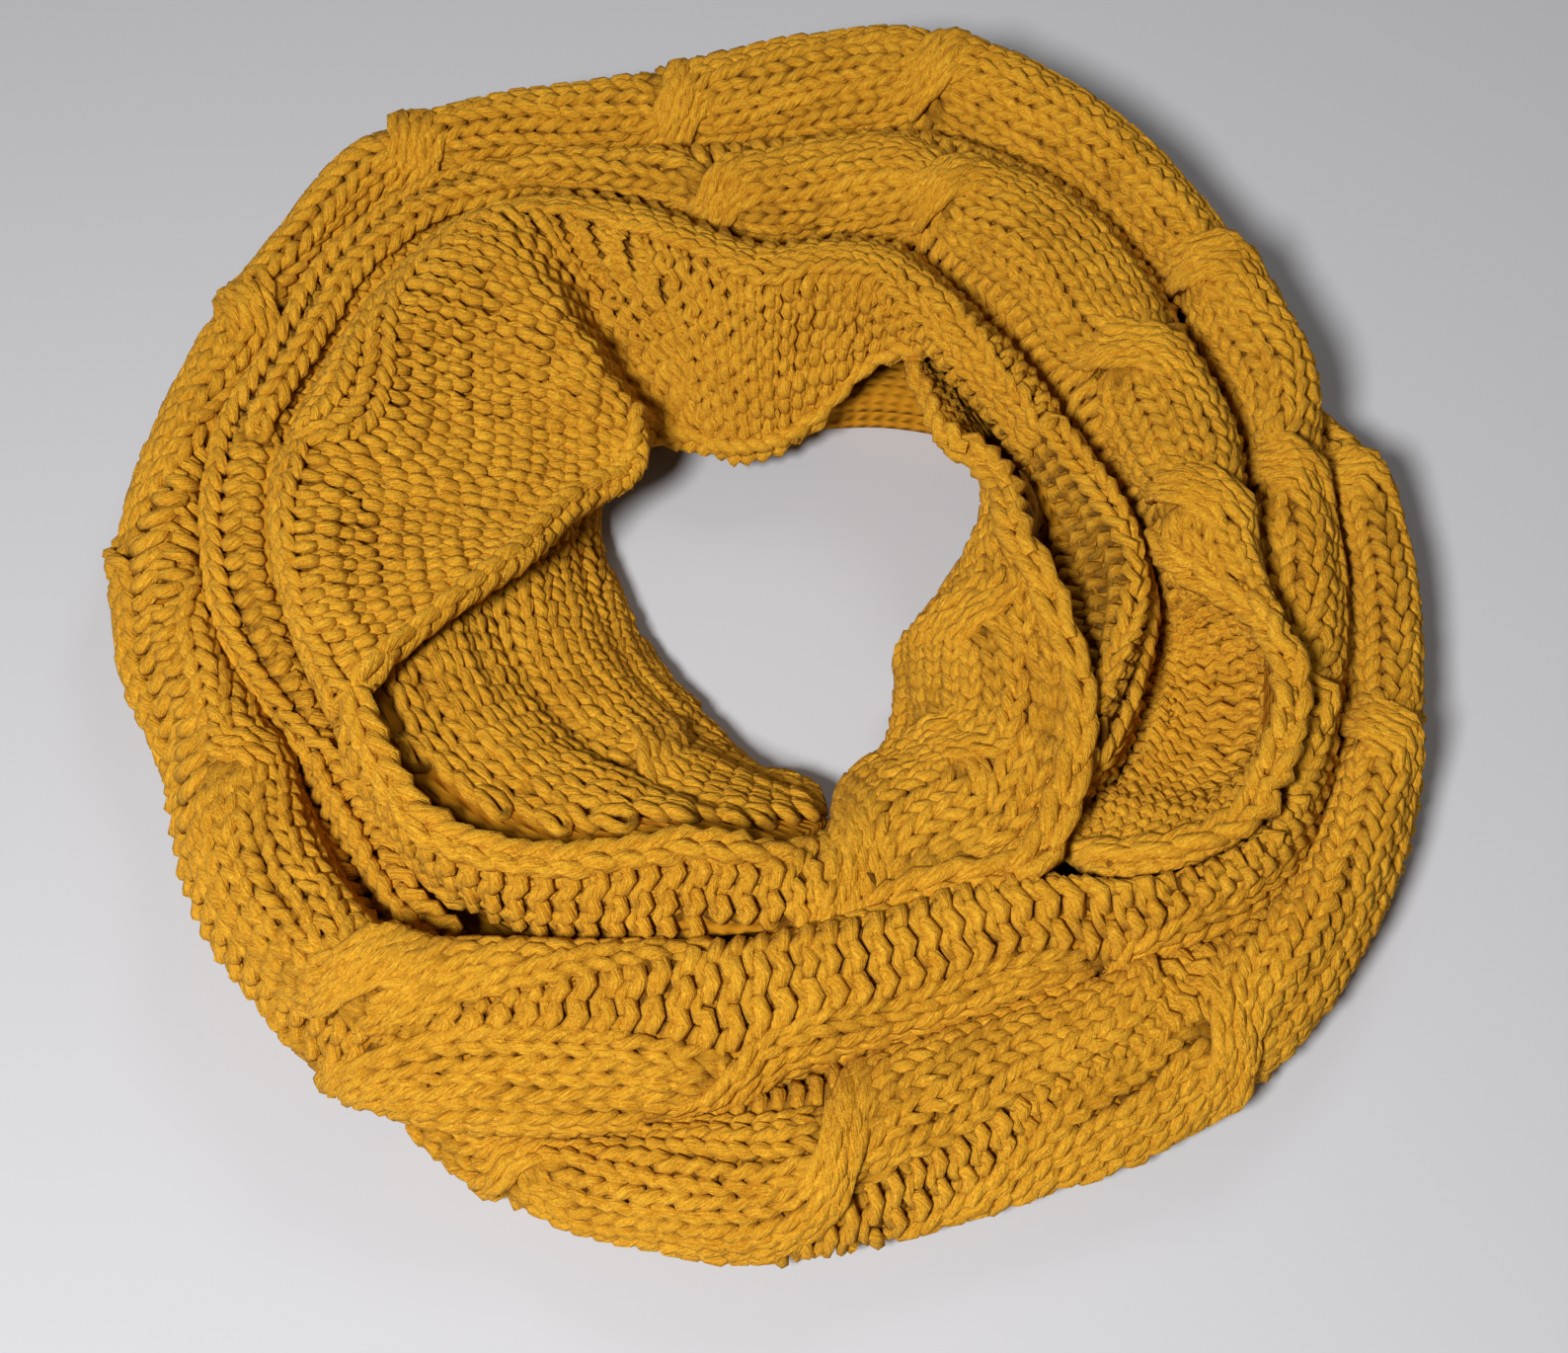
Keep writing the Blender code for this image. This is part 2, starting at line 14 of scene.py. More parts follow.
import bpy
import numpy as np
from mathutils import Vector
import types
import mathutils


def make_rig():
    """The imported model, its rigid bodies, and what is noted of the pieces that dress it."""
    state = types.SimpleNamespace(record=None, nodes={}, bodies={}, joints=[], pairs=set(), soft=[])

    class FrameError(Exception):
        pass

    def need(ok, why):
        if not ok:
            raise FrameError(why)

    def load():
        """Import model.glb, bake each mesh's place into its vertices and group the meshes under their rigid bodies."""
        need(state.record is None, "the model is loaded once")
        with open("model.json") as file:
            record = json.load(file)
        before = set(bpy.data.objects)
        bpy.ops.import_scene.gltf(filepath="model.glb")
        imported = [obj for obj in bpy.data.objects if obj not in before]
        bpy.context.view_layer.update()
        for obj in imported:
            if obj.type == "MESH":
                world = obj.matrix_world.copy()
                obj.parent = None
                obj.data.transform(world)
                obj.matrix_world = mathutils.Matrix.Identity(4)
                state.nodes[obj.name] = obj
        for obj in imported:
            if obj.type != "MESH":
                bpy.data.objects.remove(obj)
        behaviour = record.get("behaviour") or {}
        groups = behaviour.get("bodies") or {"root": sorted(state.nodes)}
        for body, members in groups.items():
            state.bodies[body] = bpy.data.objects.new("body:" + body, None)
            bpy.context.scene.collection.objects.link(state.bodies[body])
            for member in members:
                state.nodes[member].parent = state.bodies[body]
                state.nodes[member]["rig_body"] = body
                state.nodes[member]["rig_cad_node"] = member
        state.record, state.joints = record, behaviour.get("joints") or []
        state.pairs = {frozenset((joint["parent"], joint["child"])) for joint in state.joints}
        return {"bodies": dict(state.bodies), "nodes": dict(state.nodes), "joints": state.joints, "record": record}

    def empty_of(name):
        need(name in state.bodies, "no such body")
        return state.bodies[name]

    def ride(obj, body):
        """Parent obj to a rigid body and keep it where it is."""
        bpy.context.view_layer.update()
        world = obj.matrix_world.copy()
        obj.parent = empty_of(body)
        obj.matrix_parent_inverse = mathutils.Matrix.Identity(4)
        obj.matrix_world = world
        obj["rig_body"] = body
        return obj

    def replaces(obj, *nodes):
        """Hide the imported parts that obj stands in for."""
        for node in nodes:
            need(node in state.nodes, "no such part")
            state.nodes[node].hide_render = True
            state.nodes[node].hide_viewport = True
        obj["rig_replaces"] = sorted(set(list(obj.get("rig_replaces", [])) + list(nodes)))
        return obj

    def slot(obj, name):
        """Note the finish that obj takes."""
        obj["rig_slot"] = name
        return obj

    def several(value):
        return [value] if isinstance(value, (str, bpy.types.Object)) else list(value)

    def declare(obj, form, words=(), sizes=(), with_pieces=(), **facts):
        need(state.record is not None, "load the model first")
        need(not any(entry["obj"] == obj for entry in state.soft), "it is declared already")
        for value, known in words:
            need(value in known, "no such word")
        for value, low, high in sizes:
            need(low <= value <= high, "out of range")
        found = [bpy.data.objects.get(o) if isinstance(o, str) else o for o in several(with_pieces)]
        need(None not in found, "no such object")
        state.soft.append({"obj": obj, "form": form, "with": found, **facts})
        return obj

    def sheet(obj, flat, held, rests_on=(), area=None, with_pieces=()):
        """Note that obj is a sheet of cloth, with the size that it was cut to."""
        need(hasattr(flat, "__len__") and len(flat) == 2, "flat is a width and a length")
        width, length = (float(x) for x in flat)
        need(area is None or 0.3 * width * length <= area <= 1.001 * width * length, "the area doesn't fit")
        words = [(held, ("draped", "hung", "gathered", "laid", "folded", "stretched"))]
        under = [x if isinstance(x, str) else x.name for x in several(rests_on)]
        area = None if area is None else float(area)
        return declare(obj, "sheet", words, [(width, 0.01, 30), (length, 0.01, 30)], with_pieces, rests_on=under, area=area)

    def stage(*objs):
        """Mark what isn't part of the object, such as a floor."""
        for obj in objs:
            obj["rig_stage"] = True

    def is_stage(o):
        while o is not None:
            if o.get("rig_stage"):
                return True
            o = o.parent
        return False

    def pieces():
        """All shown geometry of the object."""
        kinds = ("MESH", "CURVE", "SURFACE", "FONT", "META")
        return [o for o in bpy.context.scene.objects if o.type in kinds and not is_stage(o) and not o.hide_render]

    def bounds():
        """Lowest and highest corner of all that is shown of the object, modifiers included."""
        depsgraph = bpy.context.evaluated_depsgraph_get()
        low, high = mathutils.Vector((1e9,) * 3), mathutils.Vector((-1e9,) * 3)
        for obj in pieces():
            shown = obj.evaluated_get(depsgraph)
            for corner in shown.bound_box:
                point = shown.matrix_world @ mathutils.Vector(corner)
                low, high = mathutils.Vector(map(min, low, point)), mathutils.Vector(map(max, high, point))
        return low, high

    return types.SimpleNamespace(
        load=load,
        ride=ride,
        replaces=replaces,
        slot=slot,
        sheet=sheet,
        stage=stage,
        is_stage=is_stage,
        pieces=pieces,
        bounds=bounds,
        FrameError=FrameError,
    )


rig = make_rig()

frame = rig.load()
cad_low, cad_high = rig.bounds()
print("nodes of the frame:", sorted(frame["nodes"]))
print("box of the frame in mm:", [round(1000 * (b - a)) for a, b in zip(cad_low, cad_high)])

# %% [markdown]
# ## Camera
#
# The scarf is seen from the front and from well above, 58 degrees over the table, through a
# long lens. The camera comes first, because every later choice is judged through it.

# %% The camera
LOOK_AT = Vector((0.0074, -0.0392, 0.030))
CAMERA_TILT = math.radians(58)
CAMERA_AWAY = 0.80
PICTURE_WIDTH, LENS_IN_PIXELS, SENSOR = 1588, 2720, 36.0

lens = bpy.data.cameras.new("camera")
lens.sensor_width = SENSOR
lens.lens = SENSOR * LENS_IN_PIXELS / PICTURE_WIDTH
camera = bpy.data.objects.new("camera", lens)
camera.location = LOOK_AT + CAMERA_AWAY * Vector((0, -math.cos(CAMERA_TILT), math.sin(CAMERA_TILT)))
camera.rotation_euler = (math.pi / 2 - CAMERA_TILT, 0, 0)
bpy.context.scene.collection.objects.link(camera)
bpy.context.scene.camera = camera
bpy.context.scene.view_settings.view_transform = "Standard"
print("lens, mm:", round(lens.lens, 1))

# %% [markdown]
# ## Building with nodes
#
# In Blender a material is a tree of nodes, and so is a rule that makes a shape. Such a tree can
# be drawn by hand in an editor. Here it is written down, so that it can be built again at any
# time, and a few helpers keep the writing short.

# %% Helpers for nodes
def add_socket(tree, name, way, kind, value=None):
    """A named input or output of a node tree; gives its identifier."""
    socket = tree.interface.new_socket(name, in_out=way, socket_type=kind)
    if value is not None:
        socket.default_value = value
    return socket.identifier


def add_node(tree, kind, inputs=(), **settings):
    """A node with its settings; each input is given a plain value or is wired to an output."""
    made = tree.nodes.new(kind)
    for setting, value in settings.items():
        setattr(made, setting, value)
    for socket, value in dict(inputs).items():
        if isinstance(value, bpy.types.NodeSocket):
            tree.links.new(value, made.inputs[socket])
        else:
            made.inputs[socket].default_value = value
    return made


def maths(tree, operation, *values, **settings):
    """The output of a maths node."""
    return add_node(tree, "ShaderNodeMath", enumerate(values), operation=operation,
                    **settings).outputs[0]


def empty_material(name):
    """A new material, its node tree and its shader."""
    material = bpy.data.materials.new(name)
    material.use_nodes = True
    return material, material.node_tree, material.node_tree.nodes["Principled BSDF"]


# %% [markdown]
# ## Floor and light
#
# A plain pale floor, and soft light. Yarn like wool has no gloss to speak of, so its shape is
# read from the soft shade in its grooves. The strong lamp stands high in front, a little to the
# left, so the grooves that run across its light are dark on one side. A weak lamp behind and a
# dim, warm world lift the shade a little.

# %% Floor, world and lamps
FLOOR_HALF, FLOOR_DROP = 3.0, 0.0004
MIDDLE = (0, 0, 0)


def plain_material(name, colour, roughness):
    material, _, shader = empty_material(name)
    shader.inputs["Base Color"].default_value = (*colour, 1)
    shader.inputs["Roughness"].default_value = roughness
    return material


def soft_lamp(name, place, target, size, watts):
    light = bpy.data.lights.new(name, "AREA")
    light.shape, light.size, light.energy = "DISK", size, watts
    lamp = bpy.data.objects.new(name, light)
    lamp.location = place
    lamp.rotation_euler = (Vector(target) - Vector(place)).to_track_quat("-Z", "Y").to_euler()
    bpy.context.scene.collection.objects.link(lamp)
    return lamp


floor_mesh = bpy.data.meshes.new("floor")
corners = [(FLOOR_HALF * x, FLOOR_HALF * y, 0) for x, y in ((-1, -1), (1, -1), (1, 1), (-1, 1))]
floor_mesh.from_pydata(corners, [], [(0, 1, 2, 3)])
floor_mesh.materials.append(plain_material("pale_floor", (0.50, 0.50, 0.52), 0.9))
floor = bpy.data.objects.new("floor", floor_mesh)
floor.location.z = -FLOOR_DROP
bpy.context.scene.collection.objects.link(floor)
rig.stage(floor)

world = bpy.data.worlds.new("pale_room")
bpy.context.scene.world = world
world.use_nodes = True
air = world.node_tree.nodes["Background"].inputs
air["Color"].default_value, air["Strength"].default_value = (1.0, 0.97, 0.93, 1), 0.09
lamps = [soft_lamp("key_lamp", (-0.34, -0.80, 1.10), MIDDLE, size=0.26, watts=24),
         soft_lamp("back_lamp", (0.3, 0.7, 1.0), MIDDLE, size=0.4, watts=2)]
print("lamps, watts:", {lamp.name: lamp.data.energy for lamp in lamps})

# %% [markdown]
# ## How the scarf lies
#
# Going round the ring like a clock (degrees, counter-clockwise from the right), each stretch of
# cloth has its own section: a few stations, given by their distance from the middle of the
# ring and their height. A smooth curve through the stations is the cloth, and running
# smoothly from one section to the next gives the whole stretch. Two stretches that touch share
# a fold line. All sizes in these tables are in millimetres.

# %% The fold lines
# The lines where two stretches meet in a fold. Columns: clock, radius, height of the fold
FOLD_LOW = [
    (236, 179, 8), (246, 183, 11), (254, 183, 15), (263, 175, 19), (273, 165, 22),
    (283, 160, 24), (295, 160, 24), (304, 165, 25), (314, 174, 25), (325, 182, 25),
    (337, 180, 25), (350, 177, 26), (363, 176, 26), (371, 175, 24), (380, 172, 18),
    (390, 169, 12),
]
FOLD_OUTER = [
    (2, 148, 47), (14, 153, 46), (27, 156, 46), (39, 163, 46), (50, 172, 46), (62, 177, 46),
    (74, 175, 46), (84, 165, 46), (95, 162, 46), (107, 165, 46), (120, 174, 46), (132, 183, 45),
    (143, 183, 44), (152, 177, 43), (164, 177, 42), (176, 172, 40), (188, 165, 37),
    (198, 156, 34), (208, 152, 31), (218, 154, 30), (228, 159, 31), (235, 160, 37),
    (242, 151, 47), (252, 142, 49), (262, 135, 50), (272, 131, 50), (284, 127, 50),
    (296, 128, 50), (304, 136, 49), (312, 154, 49), (320, 166, 50), (327, 170, 50),
    (336, 164, 49), (346, 157, 49), (355, 150, 48),
]
FOLD_INNER = [
    (-54, 128, 43), (-44, 127, 40), (-33, 125, 36), (-22, 122, 34), (-12, 120, 35),
    (-2, 116, 41), (8, 108, 44), (20, 103, 45), (34, 103, 46), (47, 107, 46), (58, 115, 46),
    (68, 124, 46), (79, 121, 46), (90, 117, 46), (98, 125, 46), (106, 139, 46), (116, 154, 47),
    (127, 159, 44), (140, 157, 41), (154, 154, 40), (168, 150, 40), (180, 145, 39),
    (192, 140, 36), (202, 137, 33), (214, 139, 32), (226, 142, 32), (238, 146, 38),
]


# %% The sections
# Sections of each stretch. A pair of columns is the radius and the height of one station,
# from the outside of the ring inwards.
OUTER_TURN = [
    # clock  foot      side      shoulder   crest
    (2, 173, 20, 175, 31, 168, 46, 160, 52),
    (12, 172, 22, 176, 35, 169, 48, 161, 53),
    (21, 170, 22, 182, 41, 177, 53, 168, 56),
    (28, 172, 18, 186, 38, 181, 53, 172, 56),
    (35, 176, 8, 191, 34, 185, 52, 175, 56),
    (42, 182, 3, 196, 30, 189, 51, 179, 56),
    (50, 188, 2, 203, 30, 196, 52, 186, 58),
    (62, 198, 2, 214, 30, 206, 53, 193, 60),
    (74, 204, 2, 220, 30, 211, 53, 195, 61),
    (84, 199, 2, 214, 30, 204, 52, 186, 60),
    (95, 188, 2, 202, 30, 194, 52, 179, 59),
    (107, 184, 2, 198, 29, 190, 51, 179, 58),
    (120, 192, 2, 206, 28, 198, 51, 187, 57),
    (130, 194, 2, 210, 28, 204, 50, 195, 56),
    (142, 186, 2, 202, 25, 198, 44, 191, 50),
    (152, 183, 2, 200, 25, 194, 42, 186, 47),
    (164, 181, 2, 198, 22, 192, 38, 184, 44),
    (176, 181, 2, 197, 20, 189, 38, 180, 43),
    (188, 178, 2, 194, 18, 184, 37, 173, 41),
    (198, 172, 2, 187, 17, 177, 37, 165, 40),
    (206, 175, 2, 190, 17, 181, 39, 166, 41),
    (216, 181, 2, 196, 16, 187, 41, 168, 44),
    (226, 181, 2, 197, 15, 188, 43, 172, 48),
    (234, 184, 12, 200, 20, 191, 43, 172, 55),
    (242, 189, 17, 199, 24, 187, 43, 162, 57),
    (250, 187, 18, 191, 26, 176, 46, 153, 58),
    (257, 181, 20, 184, 28, 168, 48, 147, 58),
    (264, 172, 20, 175, 30, 162, 48, 143, 58),
    (272, 164, 20, 166, 30, 155, 48, 140, 58),
    (284, 157, 20, 159, 31, 150, 49, 137, 58),
    (296, 157, 20, 159, 31, 150, 49, 138, 58),
    (304, 161, 20, 163, 31, 156, 49, 146, 58),
    (311, 168, 20, 170, 31, 166, 49, 160, 57),
    (318, 175, 20, 178, 32, 176, 48, 172, 56),
    (326, 180, 20, 182, 32, 180, 47, 176, 55),
    (336, 177, 20, 179, 32, 176, 46, 171, 53),
    (346, 173, 20, 175, 31, 171, 46, 164, 52),
    (354, 172, 20, 174, 30, 169, 46, 161, 52),
]
OUTER_LOW_STRETCH = [
    # clock  foot      side      crest
    (240, 191, 2, 198, 6, 190, 12),
    (247, 194, 2, 203, 8, 196, 15),
    (254, 193, 2, 206, 10, 198, 22),
    (262, 192, 2, 208, 11, 196, 31),
    (271, 193, 2, 211, 12, 192, 37),
    (281, 189, 2, 206, 12, 186, 38),
    (292, 187, 2, 204, 12, 184, 38),
    (302, 188, 2, 207, 12, 187, 39),
    (312, 191, 2, 210, 12, 193, 40),
    (324, 189, 2, 208, 14, 197, 40),
    (336, 186, 2, 205, 15, 194, 40),
    (348, 182, 2, 200, 17, 190, 40),
    (360, 178, 2, 196, 19, 188, 41),
    (370, 176, 2, 194, 19, 187, 39),
    (379, 174, 2, 191, 15, 184, 29),
    (388, 172, 2, 187, 9, 179, 19),
]
MIDDLE_TURN = [
    # clock  shoulder  crest
    (-51, 146, 50, 137, 46),
    (-45, 161, 56, 147, 50),
    (-38, 170, 61, 150, 48),
    (-30, 167, 66, 149, 43),
    (-22, 161, 68, 145, 39),
    (-15, 152, 69, 140, 43),
    (-10, 142, 69, 129, 56),
    (-5, 137, 69, 121, 64),
    (7, 136, 68, 119, 67),
    (20, 139, 65, 119, 64),
    (35, 142, 62, 119, 64),
    (50, 151, 61, 124, 64),
    (64, 157, 60, 137, 63),
    (78, 151, 60, 134, 62),
    (92, 147, 58, 131, 60),
    (104, 152, 56, 144, 57),
    (116, 163, 54, 158, 53),
    (128, 174, 53, 168, 53),
    (141, 174, 50, 166, 51),
    (153, 169, 48, 161, 50),
    (166, 169, 46, 159, 49),
    (180, 163, 44, 153, 48),
    (193, 154, 41, 146, 44),
    (205, 147, 34, 142, 37),
    (218, 149, 31, 145, 33),
    (230, 154, 32, 149, 33),
    (237, 153, 32, 148, 32),
]
INNER_TURN = [
    # clock  crest    slope     edge
    (-49, 121, 51, 114, 44, 110, 34),
    (-40, 119, 57, 111, 48, 106, 40),
    (-30, 117, 60, 107, 49, 100, 43),
    (-20, 113, 62, 102, 50, 93, 43),
    (-8, 107, 64, 97, 52, 87, 43),
    (4, 100, 65, 92, 54, 85, 43),
    (16, 93, 66, 87, 56, 83, 44),
    (30, 90, 68, 84, 59, 83, 46),
    (45, 90, 69, 84, 61, 83, 49),
    (57, 91, 70, 86, 61, 85, 49),
    (66, 92, 70, 83, 56, 81, 40),
    (74, 91, 70, 77, 49, 68, 28),
    (84, 88, 69, 72, 46, 58, 22),
    (94, 88, 68, 71, 46, 55, 21),
    (103, 97, 67, 76, 47, 56, 21),
    (110, 107, 67, 88, 50, 62, 21),
    (116, 118, 66, 96, 46, 66, 21),
    (121, 129, 66, 105, 43, 70, 23),
    (125, 133, 68, 102, 49, 70, 31),
    (130, 134, 73, 94, 62, 62, 46),
    (138, 132, 75, 92, 64, 53, 46),
    (147, 131, 76, 93, 61, 51, 44),
    (158, 132, 76, 95, 60, 56, 46),
    (168, 133, 76, 99, 62, 60, 50),
    (178, 137, 76, 104, 65, 65, 53),
    (188, 137, 76, 109, 67, 72, 57),
    (195, 136, 75, 114, 69, 83, 61),
    (200, 136, 74, 119, 70, 95, 64),
    (204, 136, 71, 126, 71, 109, 66),
    (207, 137, 69, 132, 72, 121, 69),
    (211, 138, 63, 138, 68, 133, 71),
]
HOLE_SIDE_BAND = [
    # clock  top edge, or foot at the hole; bulge; middle; outer edge
    (210, 133, 71, 138, 68, 139, 61, 137, 28),
    (220, 138, 70, 141, 66, 142, 55, 139, 30),
    (228, 142, 68, 145, 64, 145, 54, 142, 30),
    (236, 139, 67, 143, 64, 145, 55, 144, 34),
    (244, 132, 67, 137, 64, 142, 56, 145, 40),
    (252, 123, 67, 128, 64, 136, 57, 141, 44),
    (260, 115, 66, 120, 63, 129, 58, 136, 48),
    (268, 113, 62, 118, 61, 126, 58, 133, 50),
    (275, 109, 53, 113, 58, 121, 58, 131, 51),
    (281, 97, 33, 98, 45, 112, 55, 129, 52),
    (286, 82, 13, 80, 29, 103, 52, 128, 53),
    (293, 76, 4, 70, 22, 100, 50, 128, 55),
    (303, 73, 3, 67, 21, 99, 50, 135, 57),
    (312, 65, 3, 59, 21, 91, 49, 125, 61),
    (322, 59, 3, 51, 22, 82, 49, 113, 65),
    (333, 55, 3, 46, 22, 70, 48, 96, 65),
    (345, 58, 3, 50, 22, 65, 47, 81, 65),
    (359, 65, 3, 57, 22, 63, 45, 72, 62),
    (371, 76, 8, 69, 25, 68, 43, 73, 57),
    (383, 86, 18, 79, 31, 72, 43, 70, 52),
    (396, 88, 28, 81, 35, 74, 42, 68, 48),
    (408, 90, 32, 86, 36, 80, 41, 75, 45),
    (419, 93, 34, 90, 37, 87, 40, 84, 43),
]
POCKET_WALL = [
    # clock  foot    low      high      top
    (140, 71, 5, 76, 15, 87, 25, 100, 32),
    (151, 63, 5, 68, 16, 81, 28, 98, 36),
    (165, 52, 5, 59, 18, 77, 32, 99, 43),
    (180, 44, 5, 53, 18, 78, 35, 106, 50),
    (194, 40, 5, 51, 19, 82, 38, 114, 55),
    (207, 38, 5, 51, 19, 88, 40, 124, 60),
    (220, 38, 5, 51, 19, 91, 41, 130, 61),
    (233, 39, 5, 52, 19, 90, 41, 129, 61),
    (246, 44, 5, 56, 19, 86, 40, 118, 60),
    (258, 51, 5, 61, 19, 83, 37, 107, 57),
    (268, 57, 5, 66, 17, 84, 34, 102, 52),
    (276, 61, 8, 70, 18, 85, 30, 100, 44),
    (282, 68, 13, 75, 19, 83, 26, 90, 32),
]
HIDDEN_LAYERS = [
    # clock  hole side, outside
    (0, 74, 164), (12, 82, 163), (24, 94, 159), (36, 96, 162), (48, 94, 174), (62, 86, 186),
    (76, 78, 190), (90, 76, 180), (105, 78, 171), (120, 84, 176), (132, 88, 176),
    (145, 86, 171), (158, 78, 167), (172, 68, 167), (186, 62, 164), (200, 60, 161),
    (214, 60, 166), (228, 61, 166), (240, 66, 160), (252, 72, 164), (264, 80, 172),
    (276, 90, 174), (288, 90, 172), (300, 84, 174), (312, 74, 177), (324, 66, 177),
    (336, 62, 173), (348, 66, 168),
]


# %% Where the cables lie
# The middle of a cable, in mm across each stretch, at clock angles, and the crossings.
CABLES = {
    "outer_turn": [
        (0, 40), (20, 43), (30, 55), (36, 63), (45, 70), (70, 80), (100, 80), (120, 73),
        (135, 66), (150, 56), (165, 38), (180, 20), (200, 5), (215, -3), (225, -1), (232, 8),
        (238, 17), (255, 16), (262, 13), (270, 9), (280, 5), (300, 5), (306, 3), (315, 5),
        (323, 2), (332, -12), (345, -22), (360, -25)],
    "outer_low_stretch": [
        (238, -43), (250, -35), (262, -25), (276, -12), (281, 0), (286, 5), (289, 10),
        (293, 18), (297, 25), (302, 30), (307, 38), (312, 45), (320, 50), (330, 54),
        (345, 54), (388, 50)],
    "middle_turn": [
        (-55, 48), (-30, 45), (-10, 45), (10, 50), (27, 52), (50, 53), (66, 57), (90, 57),
        (105, 50), (116, 40), (140, 30), (239, 26)],
    "inner_turn": [(-50, 12), (0, 16), (60, 17), (110, 18), (130, 15), (180, 14), (211, 14)],
    "hole_side_band": [
        (211, 50), (240, 50), (255, 46), (265, 40), (280, 45), (300, 55), (335, 52),
        (360, 42), (419, 30)],
    "pocket_wall": [(139, 30), (180, 38), (230, 44), (282, 30)],
}
# Where the gutters are drawn together or pulled open: mm more from one cable to the next
SPREAD = {
    "outer_turn": [
        (0, 0), (224, 0), (232, -15), (236, -19), (240, -12), (247, -6), (252, -3), (258, 0),
        (265, 3), (275, 8), (312, 8), (325, 4), (340, 0), (360, 0)],
    "outer_low_stretch": [
        (238, 0), (284, 0), (289, -3), (293, -8), (297, -14), (302, -16), (307, -19),
        (315, -10), (325, 0), (388, 0)],
}
CROSSINGS = {
    "outer_turn": [-19, 9, 36, 73, 100, 127, 151, 178, 205, 233, 267, 306, 341, 369],
    "outer_low_stretch": [226, 250, 276, 309, 341, 370, 395],
    "middle_turn": [-60, -28, 0, 27, 66, 97, 125, 150, 178, 206, 236, 260],
    "inner_turn": [-60, -12, 30, 66, 98, 126, 152, 178, 204, 230],
    "hole_side_band": [200, 232, 262, 308, 336, 372, 410, 440],
    "pocket_wall": [100, 246, 320],
}
# The clock angles between which a stretch shows raised cables, where it isn't everywhere
CABLED = {"middle_turn": (-12, 124), "inner_turn": (0, 0), "hole_side_band": (200, 352),
          "pocket_wall": (0, 0)}


# %% [markdown]
# ## From tables to a surface
#
# A soft heap could be modelled by pushing points about, but then nothing says where a stitch
# belongs. Here every stretch is a rule: a smooth curve through the stations of a section, and
# smooth change from one section to the next. Any clock angle then has its own section, and a
# row of stitches can follow it.

# %% Smooth curves through stations
CLOCK_CENTRE = (1.4, -2.2)  # the middle of the ring, in mm
FINE_POINTS = 160           # of a section, before they are spaced evenly


def smooth(knots, values, places):
    """Curve through the knots, read at the places; slopes come from both neighbours."""
    knots, values = np.asarray(knots, float), np.asarray(values, float)
    places = np.asarray(places, float)
    values = values.reshape(len(knots), -1)
    step = np.diff(knots)[:, None]
    rate = np.diff(values, axis=0) / step
    slope = np.empty_like(values)
    slope[1:-1] = (rate[:-1] * step[1:] + rate[1:] * step[:-1]) / (step[1:] + step[:-1])
    slope[0], slope[-1] = rate[0], rate[-1]
    k = np.clip(np.searchsorted(knots, places, side="right") - 1, 0, len(knots) - 2)
    h = step[k]
    t = ((places - knots[k])[:, None]) / h
    return ((2 * t**3 - 3 * t**2 + 1) * values[k] + (t**3 - 2 * t**2 + t) * h * slope[k]
            + (3 * t**2 - 2 * t**3) * values[k + 1] + (t**3 - t**2) * h * slope[k + 1])


def rows_at(table, clocks, closed=False):
    """The rows of a table at any clock angles, run smoothly through its own rows."""
    rows = np.array(table, float)
    if closed:
        before, after = rows[-3:].copy(), rows[:3].copy()
        before[:, 0] -= 360
        after[:, 0] += 360
        rows = np.vstack([before, rows, after])
    return smooth(rows[:, 0], rows[:, 1:], clocks)


def fold_at(table, clocks, closed=False):
    """Radius and height of a fold line at the clock angles."""
    if closed:
        clocks = np.mod(clocks, 360)
    row = rows_at(table, clocks, closed)
    return row[:, 0], row[:, 1]


def section(stations, count):
    """Points evenly spaced along a smooth line through the stations of one section."""
    chord = np.sqrt(np.linalg.norm(np.diff(stations, axis=0), axis=1))
    knots = np.concatenate([[0], np.cumsum(chord)])
    fine = smooth(knots, stations, np.linspace(0, knots[-1], FINE_POINTS))
    length = np.concatenate([[0], np.cumsum(np.linalg.norm(np.diff(fine, axis=0), axis=1))])
    even = np.linspace(0, length[-1], count)
    return np.column_stack([np.interp(even, length, fine[:, k]) for k in (0, 1)]), even


def pair_stations(row):
    """A table row as a list of (radius, height) stations."""
    return np.asarray(row, float).reshape(-1, 2)


# %% The sections of each stretch
CORE_TOP = 17.0
FOOT = CORE_TOP + 0.3       # tucked cloth ends just over the layers underneath
# From a fold line to the cloth beside it, and to the edge that is tucked down there, in mm
OUTER_GAP, LOW_GAP, GAP = (3.2, 1.6), (2.2, 0.6), (2.6, 1.4)
# How far down each edge is tucked, in mm; the middle turn has two
OUTER_TUCK, MIDDLE_TUCKS, INNER_TUCK = 14, (14, 13), 16
# A tucked edge starts so many mm under its fold line, and under the crest beside it
UNDER_FOLD, UNDER_CREST = 2, 3
# The low stretch falls to its fold line by these shares, beside it and at its edge
LOW_FALL = (0.5, 1.4)
LYING_LOW = 30              # mm: a crest under this is cloth that lies on the floor


def tucked(radius, height, gap, depth, way=1):
    """The last two stations of a section, beside a fold line and tucked down under it."""
    return [[radius + way * gap[0], height], [radius + way * gap[1], max(height - depth, FOOT)]]


def outer_turn(clocks):
    rows = rows_at(OUTER_TURN, clocks, closed=True)
    inner, height = fold_at(FOLD_OUTER, clocks, closed=True)
    return [np.vstack([pair_stations(row), tucked(r, z, OUTER_GAP, OUTER_TUCK)])
            for row, r, z in zip(rows, inner, height)]


